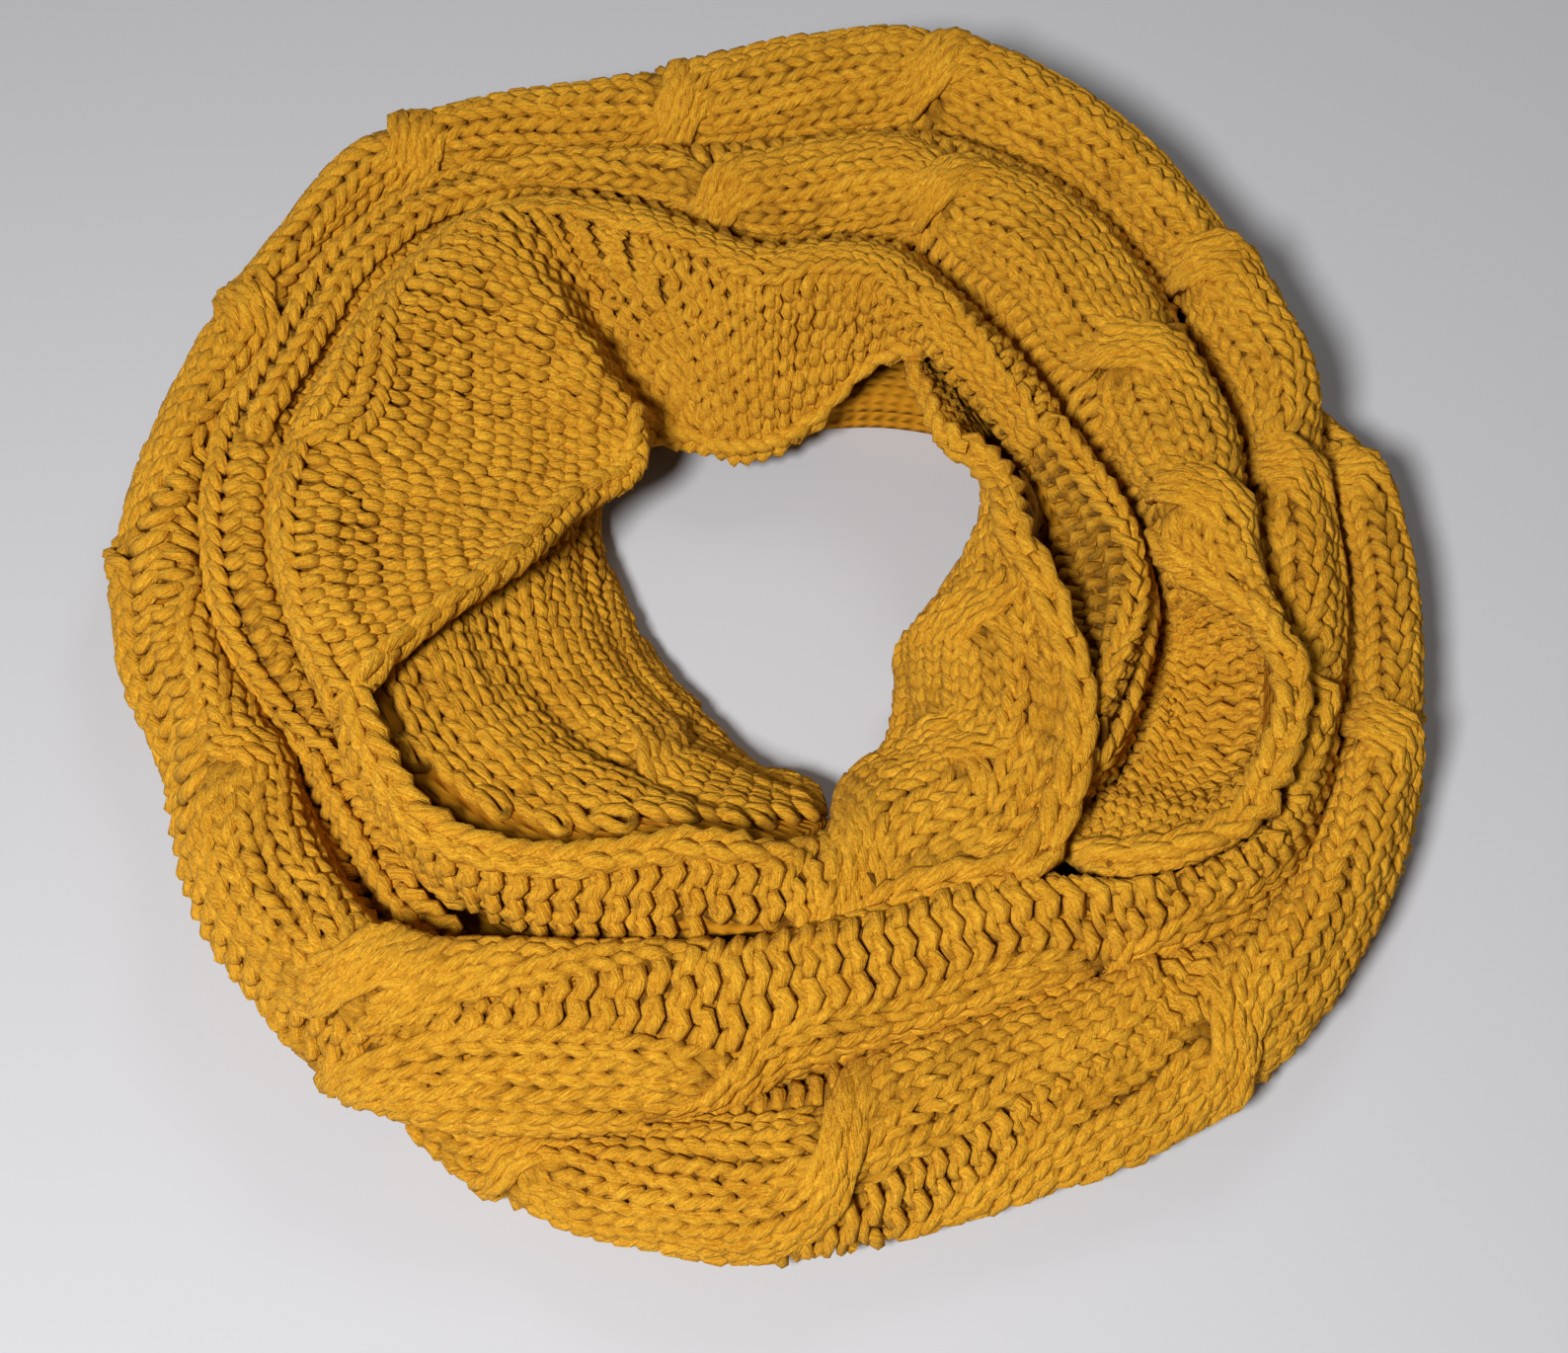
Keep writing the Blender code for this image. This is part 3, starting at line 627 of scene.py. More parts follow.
def outer_low_stretch(clocks):
    rows = rows_at(OUTER_LOW_STRETCH, clocks)
    inner, height = fold_at(FOLD_LOW, clocks)
    out = []
    for row, r, z in zip(rows, inner, height):
        foot, side, crest = pair_stations(row)
        fall = crest[1] - z
        edge = crest[1] - LOW_FALL[1] * fall
        if crest[1] > LYING_LOW:
            edge = max(edge, FOOT)
        beside = crest[1] - LOW_FALL[0] * fall
        out.append(np.vstack([foot, side, crest, [r + LOW_GAP[0], beside],
                              [r + LOW_GAP[1], edge]]))
    return out


def middle_turn(clocks):
    rows = rows_at(MIDDLE_TURN, clocks)
    outer, high = fold_at(FOLD_OUTER, clocks, closed=True)
    inner, low = fold_at(FOLD_INNER, clocks)
    out = []
    for row, a, za, b, zb in zip(rows, outer, high, inner, low):
        shoulder, crest = pair_stations(row)
        za = min(za - UNDER_FOLD, shoulder[1] - UNDER_CREST)
        zb = min(zb, crest[1] - UNDER_CREST)
        out.append(np.vstack([tucked(a, za, GAP, MIDDLE_TUCKS[0], way=-1)[::-1], shoulder, crest,
                              tucked(b, zb, GAP, MIDDLE_TUCKS[1])]))
    return out


def inner_turn(clocks):
    rows = rows_at(INNER_TURN, clocks)
    outer, low = fold_at(FOLD_INNER, clocks)
    return [np.vstack([tucked(a, za, GAP, INNER_TUCK, way=-1)[::-1], pair_stations(row)])
            for row, a, za in zip(rows, outer, low)]


def plain_rows(table):
    """A stretch whose rows hold all of its stations."""
    return lambda clocks: [pair_stations(row) for row in rows_at(table, clocks)]


# %% From sections to points
def at(clock, radius, height):
    """Points at a clock angle in radians, from their radii and heights."""
    return np.column_stack([CLOCK_CENTRE[0] + radius * math.cos(clock),
                            CLOCK_CENTRE[1] + radius * math.sin(clock), height])


def strip(stretch, clocks, count):
    """Grid of points, in mm, on the outside of a stretch, and the distance across it."""
    clocks = np.asarray(clocks, float)
    grid, across = [], []
    for clock, stations in zip(np.radians(clocks), stretch(clocks)):
        line, length = section(stations, count)
        grid.append(at(clock, line[:, 0], line[:, 1]))
        across.append(length)
    return np.array(grid), np.array(across)


def unit(vectors):
    return vectors / np.linalg.norm(vectors, axis=-1, keepdims=True)


def normals(grid):
    """Unit normals of a grid of points, out of the cloth's outer side."""
    return unit(np.cross(np.gradient(grid, axis=0), np.gradient(grid, axis=1)))


# %% [markdown]
# ## Any place on the cloth
#
# The stitches need to know where on the ring they are. A stretch of cloth is kept as a fine
# grid with its normals, and one function turns three plain numbers (how far along the cloth,
# how far across it, how high above it) into a point. Past an edge, the same function turns
# over the rim and goes back along the other side, so a border stitch can sit on the rim.

# %% A stretch of cloth
CLOCK_STEP = 1.0        # degrees from one section of the grid to the next
ACROSS_POINTS = 140
RIM = 1.6               # radius of the turn round an edge, in mm
OFF_FLOOR = 2.3         # no line of yarn comes nearer to the floor than this, in mm


def between(grid, row, column):
    """The grid read between its own rows and columns."""
    i = np.clip(np.floor(row).astype(int), 0, grid.shape[0] - 2)
    j = np.clip(np.floor(column).astype(int), 0, grid.shape[1] - 2)
    a, b = (row - i)[..., None], (column - j)[..., None]
    return ((1 - a) * ((1 - b) * grid[i, j] + b * grid[i, j + 1])
            + a * ((1 - b) * grid[i + 1, j] + b * grid[i + 1, j + 1]))


class Cloth:
    """One stretch of the scarf's cloth."""

    def __init__(self, name, sections, first, last, closed=False, turned=False):
        self.name, self.closed, self.turned = name, closed, turned
        self.clocks = np.linspace(first, last, int(round((last - first) / CLOCK_STEP)) + 1)
        self.grid, across = strip(sections, self.clocks, ACROSS_POINTS)
        self.width = across[:, -1]
        self.normal = normals(self.grid) * (-1 if turned else 1)
        if closed:
            self.normal[0] = self.normal[-1] = (self.normal[0] + self.normal[-1]) / 2
        self.sideways = unit(np.gradient(self.grid, axis=1))
        middle = self.grid[:, ACROSS_POINTS // 2]
        steps = np.linalg.norm(np.diff(middle, axis=0), axis=1)
        self.along = np.concatenate([[0], np.cumsum(steps)])
        self.length = self.along[-1]

    def clock(self, along):
        return np.interp(along, self.along, self.clocks)

    def along_at(self, clock):
        """How far along the cloth a clock angle lies, also a quarter turn past its ends."""
        rate = self.length / (self.clocks[-1] - self.clocks[0])
        clocks = np.concatenate([[self.clocks[0] - 90], self.clocks, [self.clocks[-1] + 90]])
        along = np.concatenate([[-90 * rate], self.along, [self.length + 90 * rate]])
        return np.interp(clock, clocks, along)

    def width_at(self, along):
        return np.interp(along, self.along, self.width)

    def place(self, along, across, height):
        """Points at distances along and across the cloth and at heights above it, in mm."""
        if self.closed:
            along = np.mod(along, self.length)
        row = np.interp(along, self.along, np.arange(len(self.along)))
        width = np.interp(row, np.arange(len(self.width)), self.width)
        past = np.where(across > width, across - width, np.minimum(across, 0))
        way, past = np.sign(past), np.abs(past)
        behind = np.maximum(past - math.pi * RIM, 0)
        across = np.where(way > 0, width - behind, np.where(way < 0, behind, across))
        column = across / width * (ACROSS_POINTS - 1)
        normal = unit(between(self.normal, row, column))
        sideways = way[..., None] * between(self.sideways, row, column)
        turn = np.minimum(past / RIM, math.pi)[..., None]
        out = normal * np.cos(turn) + sideways * np.sin(turn)
        point = between(self.grid, row, column) + RIM * (out - normal) + height[..., None] * out
        point[..., 2] = np.maximum(point[..., 2], OFF_FLOOR)
        return point


outer = Cloth("outer_turn", outer_turn, 0, 360, closed=True)
low = Cloth("outer_low_stretch", outer_low_stretch, 240, 388)
middle = Cloth("middle_turn", middle_turn, -51, 235)
inner = Cloth("inner_turn", inner_turn, -49, 210.2)
band = Cloth("hole_side_band", plain_rows(HOLE_SIDE_BAND), 210.33, 417, turned=True)
pocket = Cloth("pocket_wall", plain_rows(POCKET_WALL), 140, 282, turned=True)
CLOTHS = (outer, low, middle, inner, band, pocket)
for cloth in CLOTHS:
    print(cloth.name, "length, mm:", round(cloth.length), "width:", round(cloth.width.mean()))

# %% [markdown]
# ## The knitting chart
#
# On its right side the panel has cables, six knit columns wide, with gutters of two purl
# columns between them. Every so often the left three columns of a cable are knitted in front of
# the right three. There the cable narrows and the gutters beside it open. From behind it is the
# other way round: the cables show as purl bumps and the gutters as two chains.

# %% The rows
# How far apart the rows of stitches are, in mm, from a clock angle on: the outer turns are
# pulled long, and the cloth is bunched at the hole
ROW = {"outer_turn": [(0, 7.0)], "outer_low_stretch": [(0, 6.2)],
       "middle_turn": [(-51, 5.0), (-14, 5.2), (0, 6.4)], "inner_turn": [(20, 6.6), (60, 6.1)],
       "hole_side_band": [(210, 7.2), (276, 7.0), (296, 5.6)], "pocket_wall": [(0, 5.8)]}
FINE_STEPS = 4000


def places_of_rows(cloth):
    """Where the rows lie along the cloth, spaced as its table says, and how far apart."""
    fine = np.linspace(0, cloth.length, FINE_STEPS)
    pitch = np.interp(cloth.clock(fine), *zip(*ROW[cloth.name]))
    number = np.concatenate([[0], np.cumsum(np.diff(fine) / pitch[1:])])
    count = int(round(number[-1]))
    rows = np.interp((np.arange(count) + 0.5) / count, number / number[-1], fine)
    return rows, np.interp(rows, fine, pitch)


for cloth in CLOTHS:
    print(cloth.name, "rows:", len(places_of_rows(cloth)[0]))


# %% Cables and their crossings
CABLE, GUTTER = 43.2, 21.6      # mm across
REPEAT = CABLE + GUTTER
CROSSING_LENGTH = 15.0          # mm along the cloth, from the middle of a crossing to its end
# How full a cable is between its crossings, and how much it narrows there: less where the
# cloth is bunched into the hole
FULLER, WAIST = 1.08, 0.40
FULLER_OF = {"hole_side_band": 1.2}
WAIST_OF = {"outer_turn": 0.34, "outer_low_stretch": 0.34, "hole_side_band": 0.26,
            "pocket_wall": 0.2}
NARROWEST_GUTTER = 6


def to_crossing(cloth, along):
    """Signed distance to the nearest crossing, and where that crossing is."""
    marks = cloth.along_at(np.array(CROSSINGS[cloth.name], float))
    nearest = np.abs(along[..., None] - marks).argmin(axis=-1)
    return along - marks[nearest], marks[nearest]


def one_repeat(cloth, along):
    """From the middle of one cable to the middle of the next."""
    spread = SPREAD.get(cloth.name, [(0, 0), (360, 0)])
    return REPEAT + np.interp(cloth.clock(along), *zip(*spread))


def cable_half(cloth, along):
    """Half the width of a cable, narrow at its crossings."""
    away, _ = to_crossing(cloth, along)
    waist = WAIST_OF.get(cloth.name, WAIST)
    fuller = FULLER_OF.get(cloth.name, FULLER)
    half = 0.5 * CABLE * (fuller - waist * np.exp(-(away / CROSSING_LENGTH) ** 2))
    return np.minimum(half, (one_repeat(cloth, along) - NARROWEST_GUTTER) / 2)


def cable_middle(cloth, along):
    clocks, middles = zip(*CABLES[cloth.name])
    clock = np.clip(cloth.clock(along), clocks[0], clocks[-1])
    return smooth(clocks, middles, clock.ravel()).reshape(clock.shape)


# %% What stands out of the cloth, and what sinks in
# Soft folds that run along the pocket wall: middle across the cloth, half width, height
POCKET_FOLDS = [(7, 14, 3.6), (39, 19, 5.0), (73, 16, 4.2)]
# The small pocket at the right: clock and mm across of its middle, half lengths, depth
HOLLOW = (-24, 68, 17, 29, 10.0)
CABLE_RISE = 3.4                # mm at a crossing; a fifth less midway between crossings
BORDER, BORDER_FADE = 8, 14     # mm at an edge without cables, and mm over which they rise
CLOCK_FADE = 10                 # degrees over which cables fade out where cabled cloth ends
# Powers for the outline of each: a small one is blunt, a large one is pointed
CABLE_SHAPE, FOLD_SHAPE, HOLLOW_SHAPE = 0.45, 0.6, 1.2


def dome(away, shape):
    """1 in the middle, falling to 0; AWAY is the square of the distance, as a share."""
    return np.clip(1 - away, 0, 1) ** shape


def hollow(cloth, along, across):
    """How far the small pocket sinks in, as a negative height."""
    clock, middle, half_clock, half_width, depth = HOLLOW
    away = (((cloth.clock(along) - clock) / half_clock) ** 2
            + ((across - middle) / half_width) ** 2)
    return -depth * dome(away, HOLLOW_SHAPE)


def relief(cloth, along, across):
    """How far the cables, or the pocket wall's soft folds, stand out of the cloth."""
    if cloth is pocket:
        return sum(rise * dome(((across - mid) / half) ** 2, FOLD_SHAPE)
                   for mid, half, rise in POCKET_FOLDS)
    away, _ = to_crossing(cloth, along)
    repeat = one_repeat(cloth, along)
    side = np.mod(across - cable_middle(cloth, along) + repeat / 2, repeat) - repeat / 2
    bow = dome((side / cable_half(cloth, along)) ** 2, CABLE_SHAPE)
    near = np.exp(-(away / CROSSING_LENGTH) ** 2)
    from_edge = np.minimum(across, cloth.width_at(along) - across)
    edge = np.clip((from_edge - BORDER) / BORDER_FADE, 0, 1)
    first, last = CABLED.get(cloth.name, (-999, 999))
    clock = cloth.clock(along)
    shown = np.clip(np.minimum(clock - first, last - clock) / CLOCK_FADE, 0, 1)
    cables = CABLE_RISE * bow * (0.8 + 0.2 * near) * edge * shown
    return cables + (hollow(cloth, along, across) if cloth is middle else 0)


# %% Columns of stitches
CABLE_COLUMNS, GUTTER_COLUMNS = 6, 2
FRONT_LIFT, BACK_DROP = 2.4, 1.6    # mm at a crossing, of the half in front and the half behind
CALM = {"hole_side_band": 0.5, "pocket_wall": 0.5}
SWING = 1.5                         # columns that each half swings to its side
REPEATS = range(-3, 4)              # enough to cross the widest stretch
CROSSING_FULLER = 0.5               # at a crossing the columns spread again by this share
GUTTER_CREEP = 0.15                 # and the gutters creep under them by this share
SINKING, SINKS_UNDER = 0.3, 8       # a gutter column narrower than so many mm sinks


def crossing_angle(cloth, rows, along):
    """Where the nearest crossing of each row is, and the angle of the crossing at each point,
    0 in its middle and a quarter turn at its ends."""
    _, mark = to_crossing(cloth, rows)
    return mark, math.pi / 2 * np.clip((along - mark) / CROSSING_LENGTH, -1, 1)


def cable_columns(cloth, rows, along, repeat):
    """The six columns of a cable: middle, width and lift at each point of each row."""
    centre = cable_middle(cloth, along) + repeat * one_repeat(cloth, along)
    mark, angle = crossing_angle(cloth, rows, along)
    swing, over = SWING * np.sin(angle), np.cos(angle) ** 2
    step = 2 * cable_half(cloth, along) / CABLE_COLUMNS * (1 + CROSSING_FULLER * over)
    for column in range(CABLE_COLUMNS):
        left = column < CABLE_COLUMNS / 2
        in_front = (rows < mark) == left
        offset = column - (1 if left else 4)    # from the middle column of its half
        middle = centre + step * (np.where(in_front, swing, -swing) + offset)
        lift = CALM.get(cloth.name, 1) * over * np.where(in_front, FRONT_LIFT, -BACK_DROP)
        yield "knit", middle, step, lift


def gutter_columns(cloth, rows, along, repeat, kind="purl", count=GUTTER_COLUMNS):
    """The columns between a cable and the next; they sink where they are drawn together."""
    _, angle = crossing_angle(cloth, rows, along)
    whole = one_repeat(cloth, along)
    half = cable_half(cloth, along) * (1 - GUTTER_CREEP * np.cos(angle) ** 2)
    centre = cable_middle(cloth, along) + repeat * whole
    step = (whole - 2 * half) / count
    for column in range(count):
        sunk = SINKING * np.minimum(step - SINKS_UNDER, 0)
        yield kind, centre + half + (column + 0.5) * step, step, sunk


def fill_in(start, end, count, kind, lift):
    """Even columns between two lines."""
    step = (end - start) / count
    for column in range(count):
        yield kind, start + (column + 0.5) * step, step, lift + 0 * step


# %% [markdown]
# ## Which chart goes where
#
# A knitter's chart says which stitch comes next across a row. Here a chart is a function that
# gives the columns of a stretch one after the other: knit or purl, where its middle is, how
# wide it is and how far it is lifted. Most stretches follow the cable chart. The innermost
# turn shows the wrong side, the narrow strips between the folds show only a few ribs, and the
# cloth that is bunched at the hole shows knit columns alone.

# %% The charts
def cabled(**gutter):
    """A chart of cables with gutters between them."""
    def chart(cloth, rows, along):
        for repeat in REPEATS:
            yield from cable_columns(cloth, rows, along, repeat)
            yield from gutter_columns(cloth, rows, along, repeat, **gutter)
    return chart


def stripes(*bands, start=0):
    """A chart of plain stripes across the cloth: kind, columns, width of all of them, lift."""
    def chart(cloth, rows, along):
        edge = start + 0 * along
        for kind, count, width, lift in bands:
            yield from fill_in(edge, edge + width, count, kind, lift)
            edge = edge + width
    return chart


right_side = cabled()
# Where the gutters are pulled open, a third purl column shows
wide_gutters = cabled(count=3)
# Where the cloth is bunched, the gutters are pulled shut and only knit columns show
cables_alone = cabled(kind="knit", count=3)
# From behind, a gutter shows as two chains between the purl bumps of the cables
wrong_side = stripes(("purl", 10, 61, 0), ("knit", 2, 16, 2.0), ("purl", 18, 112, 0), start=-20)
plain_knit = stripes(("knit", 16, 114, 0), start=-4)
three_ribs = stripes(("purl", 2, 14, 0), ("knit", 1, 8.5, 2.2), ("purl", 1, 5, -2.2),
                     ("knit", 1, 8, 1.6), ("purl", 1, 5, -2.2), ("knit", 1, 8, 1.6),
                     ("purl", 2, 14, 0))
one_rib = stripes(("purl", 2, 14, 0), ("knit", 1, 9, 2.8), ("purl", 2, 14, -1.2),
                  ("knit", 1, 8, 0.5), ("purl", 2, 14, 0))
top_gutter = stripes(("knit", 1, 4, 0), ("purl", 3, 24, 0), ("knit", 10, 72, 1.2))


# %% Two charts beside the small pocket
# Where the flap of the small pocket has its edge: clock, mm across the middle turn
FLAP_EDGE = [(-50, 30), (-40, 31), (-31, 33), (-24, 34), (-19, 37), (-15, 41), (-12, 47),
             (-9, 54), (-4, 66), (0, 76)]
# Where two single ribs run beside it, between purl grooves: clock, mm across the inner turn
RIBS = [(-45, 38), (-26, 43), (-8, 38), (20, 36)]


def flap_edge(cloth, along):
    return np.interp(cloth.clock(along), *zip(*FLAP_EDGE))


def pocket_flap(cloth, rows, along):
    """Knit columns up to the edge of the flap, and purl ones in the hollow behind it."""
    edge = flap_edge(cloth, along)
    yield from fill_in(0 * edge, edge, 5, "knit", 0)
    yield from fill_in(edge, cloth.width_at(along), 12, "purl", 0)


def two_ribs(cloth, rows, along):
    """Two single ribs between purl grooves, beside the pocket."""
    rib = np.interp(cloth.clock(along), *zip(*RIBS))
    yield from fill_in(0 * rib, rib - 16, 3, "purl", -0.5)
    yield from fill_in(rib - 16, rib - 7, 1, "knit", 2.4)
    yield from fill_in(rib - 7, rib, 1, "purl", -2.4)
    yield from fill_in(rib, rib + 9, 1, "knit", 2.0)
    yield from fill_in(rib + 9, cloth.width_at(along), 3, "purl", -2.0)


# %% What every stretch follows
# The chart from one clock angle to the next, and a name for the piece where it isn't a number
CHARTS = {
    "outer_turn": [(0, 60, right_side, "right"), (60, 190, right_side, "back"),
                   (190, 259, right_side, "left"), (259, 360, wide_gutters, "front")],
    "outer_low_stretch": [(240, 388, right_side)],
    "middle_turn": [(-51, -11, pocket_flap), (-11, 122, right_side), (122, 166, three_ribs),
                    (166, 235, one_rib)],
    "inner_turn": [(-49, 22, two_ribs), (22, 210.2, wrong_side)],
    "hole_side_band": [(210.33, 279, top_gutter), (279, 352, cables_alone),
                       (352, 417, plain_knit)],
    "pocket_wall": [(140, 282, cables_alone)],
}
print("pieces of knit:", sum(map(len, CHARTS.values())))

# %% [markdown]
# ## One row of yarn
#
# A knitted row is one strand that swings up into a loop and back down again in every column.
# Seen from the front of a knit stitch, the two legs of the loop make a V, and the bends at the
# top and the bottom lie behind. A purl stitch is the same loop seen from behind, so its bends
# are in front and its legs are hidden. One short formula draws both; only the sign changes.

# %% The loop of one stitch
LOOP_HEIGHT = 1.62      # in rows
LOOP_BELLY = 0.25       # how far a leg leans, in columns
LOOP_DEPTH = 1.35       # mm in front of the middle of the cloth, and behind it
PURL_DEPTH = 1.5        # purl bumps stand out more than the legs of a knit stitch
PURL_FLATNESS = 0.55    # under 1, a purl bump is flatter on top
LOOP_POINTS = 10
turn = 2 * math.pi * np.arange(LOOP_POINTS) / LOOP_POINTS
LOOP_X = turn / (2 * math.pi) - 0.5 + LOOP_BELLY * np.sin(2 * turn)
LOOP_Y = -LOOP_HEIGHT / 2 * np.cos(turn)
in_and_out = np.cos(2 * turn)
LOOP_Z = -LOOP_DEPTH * in_and_out
PURL_Z = -LOOP_DEPTH * np.sign(in_and_out) * np.abs(in_and_out) ** PURL_FLATNESS
# How thick the yarn is along the loop, because it is squeezed where loops cross
FRONT_PLUMP = {"knit": 1 - 0.07 * in_and_out, "purl": 1 - 0.16 * np.cos(turn)}
print("loop, in columns and rows:", np.ptp(LOOP_X).round(2), "by", np.ptp(LOOP_Y).round(2))

# %% How the stretches differ
SUNK = 1.3              # mm that the middle of the cloth lies under its outer side
THICKER = {"inner_turn": 0.88, "hole_side_band": 0.95, "outer_turn": 1.04}
FLAP_THICKER = 0.86
DEEPER = {"inner_turn": 1.3, "middle_turn": 1.15}
# How near its low and its high edge, in mm, a stretch still has stitches: the rest is tucked in
HEM = {"outer_turn": (2, 5), "outer_low_stretch": (2, 5), "middle_turn": (5, 5),
       "inner_turn": (5, 3), "hole_side_band": (3, 3), "pocket_wall": (3, 4)}
# Edge chains: which edge; clock from, clock to; width, length of a link, lift
CHAINS = {
    "inner_turn": [("high", 56, 209.5, 8.5, 8.6, 0.6)],
    "hole_side_band": [("low", 211, 277, 8.5, 8.6, 0.6), ("high", 284, 416, 8.5, 8.6, 0.6)],
    "middle_turn": [("flap", -50, -1, 10, 8.6, 1.4)],
}
# Columns on the other side of the cloth, next to an edge chain
BEHIND_WIDTH, BEHIND_GAP = 7.5, 3.0
BEHIND_DROP = 0.4
BEHIND_FLOOR = -0.7     # so that no loop from behind comes through to the front
# Where the cloth lies askew in the heap, so that its rows run another way than straight across:
# clock and mm across of the middle, mm to where it ends, degrees
ASKEW = {"inner_turn": [(141, 98, 80, 34)]}
ASKEW_SHAPE = 0.8
# How uneven the stitches are: in mm across, along and in height, and as a share of the yarn's
# thickness. The first number drifts along the cloth, the second differs at every stitch
SWAY, SLIP, SWELL, BULGE = (0.5, 0.3), 0.3, (0.35, 0.15), (0.05, 0.03)
DRIFT_ROWS = 7


def laid_askew(cloth, along, across):
    """Places turned about the middle of the patch that lies askew, less and less outwards."""
    for clock, middle, reach, degrees in ASKEW.get(cloth.name, []):
        a, b = along - cloth.along_at(clock), across - middle
        angle = math.radians(degrees) * dome((a * a + b * b) / reach**2, ASKEW_SHAPE)
        along = along + a * (np.cos(angle) - 1) - b * np.sin(angle)
        across = across + a * np.sin(angle) + b * (np.cos(angle) - 1)
    return along, across


def uneven(rng, shape, drift, jitter, start=0):
    """The small unevenness of hand and machine: a part that drifts and a part that doesn't."""
    rough = rng.standard_normal((shape[0] + DRIFT_ROWS - 1, shape[1]))
    even = sum(rough[k:k + shape[0]] for k in range(DRIFT_ROWS)) / math.sqrt(DRIFT_ROWS)
    return start + drift * even + jitter * rng.standard_normal(shape)


def unevenness(rng, shape):
    """How far each stitch is out of its place across, along and in height, and its bulge."""
    sway = uneven(rng, shape, *SWAY)
    slip = SLIP * rng.standard_normal(shape)
    return sway, slip, uneven(rng, shape, *SWELL), uneven(rng, shape, *BULGE, start=1)


# %% The columns of one piece
def chained_edges(cloth, clock):
    """Which rows have an edge chain at their low and at their high edge."""
    low_edge, high_edge = np.zeros(clock.shape, bool), np.zeros(clock.shape, bool)
    for edge, start, end, *_ in CHAINS.get(cloth.name, []):
        here = (clock > start) & (clock < end)
        low_edge |= here & (edge == "low")
        high_edge |= here & (edge == "high")
    return low_edge, high_edge


def all_columns(cloth, chart, rows, along, low_edge, high_edge):
    """The chart's columns from edge to edge, with two more behind each chained edge."""
    def column_behind(middle, edge):
        return "behind", middle, BEHIND_WIDTH + 0 * along, 0 * along, edge

    columns = sorted(chart(cloth, rows, along), key=lambda column: float(np.mean(column[1])))
    past = cloth.width_at(along) + BEHIND_GAP
    return ([column_behind(-BEHIND_WIDTH * k - BEHIND_GAP + 0 * along, low_edge)
             for k in (1.5, 0.5)] + columns
            + [column_behind(past + BEHIND_WIDTH * k, high_edge) for k in (0.5, 1.5)])


# %% The rows of one piece
# How high the yarn lies is kept on it for its painted shade: the material darkens yarn that lies deep in the knit.
RAISED_RANGE = 5.0      # mm from deep in the knit, where the value is 0, to its top, where it is 1


def knit(cloth, chart, first, last, seed):
    """Lines of yarn for the rows between two clock angles: points, which stitches show, how
    plump each is and how high it lies."""
    rng = np.random.default_rng(seed)
    rows, pitch = places_of_rows(cloth)
    wanted = (cloth.clock(rows) >= first) & (cloth.clock(rows) < last)
    rows, pitch = rows[wanted][:, None], pitch[wanted][:, None]
    along = rows + pitch * LOOP_Y
    hem = HEM[cloth.name]
    thicker = FLAP_THICKER if chart is pocket_flap else THICKER.get(cloth.name, 1.0)
    low_edge, high_edge = chained_edges(cloth, cloth.clock(rows))
    columns = all_columns(cloth, chart, rows, along, low_edge, high_edge)
    sway, slip, swell, bulge = unevenness(rng, (len(rows), len(columns)))
    centre = slice(LOOP_POINTS // 2, LOOP_POINTS // 2 + 1)
    stitches, before = [], None
    for index, (kind, middle, step, lift, *edge) in enumerate(columns):
        own = slice(index, index + 1)
        here, across = laid_askew(cloth, along + slip[:, own],
                                  middle + step * LOOP_X + sway[:, own])
        home, width = across[:, centre], cloth.width_at(here[:, centre])
        if edge:
            seen = edge[0]
            sign = np.full((len(rows), 1), 1.0 if chart is wrong_side else -1.0)
            lift = lift - BEHIND_DROP
        else:
            seen = ((home > np.where(low_edge, -BEHIND_GAP, hem[0]))
                    & (home < width - np.where(high_edge, -BEHIND_GAP, hem[1])))
            sign = np.full((len(rows), 1), 1.0 if kind == "knit" else -1.0)
        depth = np.where(sign < 0, -PURL_DEPTH * DEEPER.get(cloth.name, 1) * PURL_Z, LOOP_Z)
        depth[:, :1] = -LOOP_DEPTH * (sign + (sign if before is None else before)) / 2
        before = sign
        height = depth + lift - SUNK + swell[:, own]
        if edge:
            height = np.maximum(height, BEHIND_FLOOR)
        # How high this yarn lies, for the painted shade that darkens deep yarn in the material
        raised = np.clip((height + SUNK) / RAISED_RANGE + 0.5, 0, 1)
        if not edge:
            height = height + relief(cloth, here, across)
        plump = thicker * bulge[:, own] * FRONT_PLUMP["purl" if kind == "purl" else "knit"]
        stitches.append((cloth.place(here, across, height), seen[:, 0], plump, raised))
    return [np.stack(values, axis=1) for values in zip(*stitches)]


# %% Chains and lines
CHAIN_TALLER, CHAIN_DEEPER, CHAIN_PLUMPER = 1.05, 1.2, 1.22     # than other loops
CHAIN_OUT = 0.5                                                 # mm past the edge


def edge_chain(cloth, edge, first, last, wide, link, lift, seed):
    """The loops of a chain along an edge, one after the other, each a strand of its own."""
    rng = np.random.default_rng(seed)
    start, end = cloth.along_at(first), cloth.along_at(last)
    count = int(round((end - start) / link))
    pitch = (end - start) / count
    links = (start + (np.arange(count) + 0.5) * pitch)[:, None]
    along = links + pitch * LOOP_Y * CHAIN_TALLER
    middle = {"low": -CHAIN_OUT + 0 * along, "high": cloth.width_at(along) + CHAIN_OUT,
              "flap": flap_edge(cloth, along)}[edge]
    across = middle + wide * LOOP_X + 0.4 * rng.standard_normal((count, 1))
    height = CHAIN_DEEPER * LOOP_Z + lift + 0.3 * rng.standard_normal((count, 1))
    points = cloth.place(along, across, height)
    plump = (CHAIN_PLUMPER + 0.05 * rng.standard_normal((count, 1))) * FRONT_PLUMP["knit"]
    # How high each loop lies, for the painted shade that darkens deep yarn in the material
    raised = np.clip(height / RAISED_RANGE + 0.75, 0, 1)
    return points[:, None], np.ones((count, 1), bool), plump[:, None], raised[:, None]


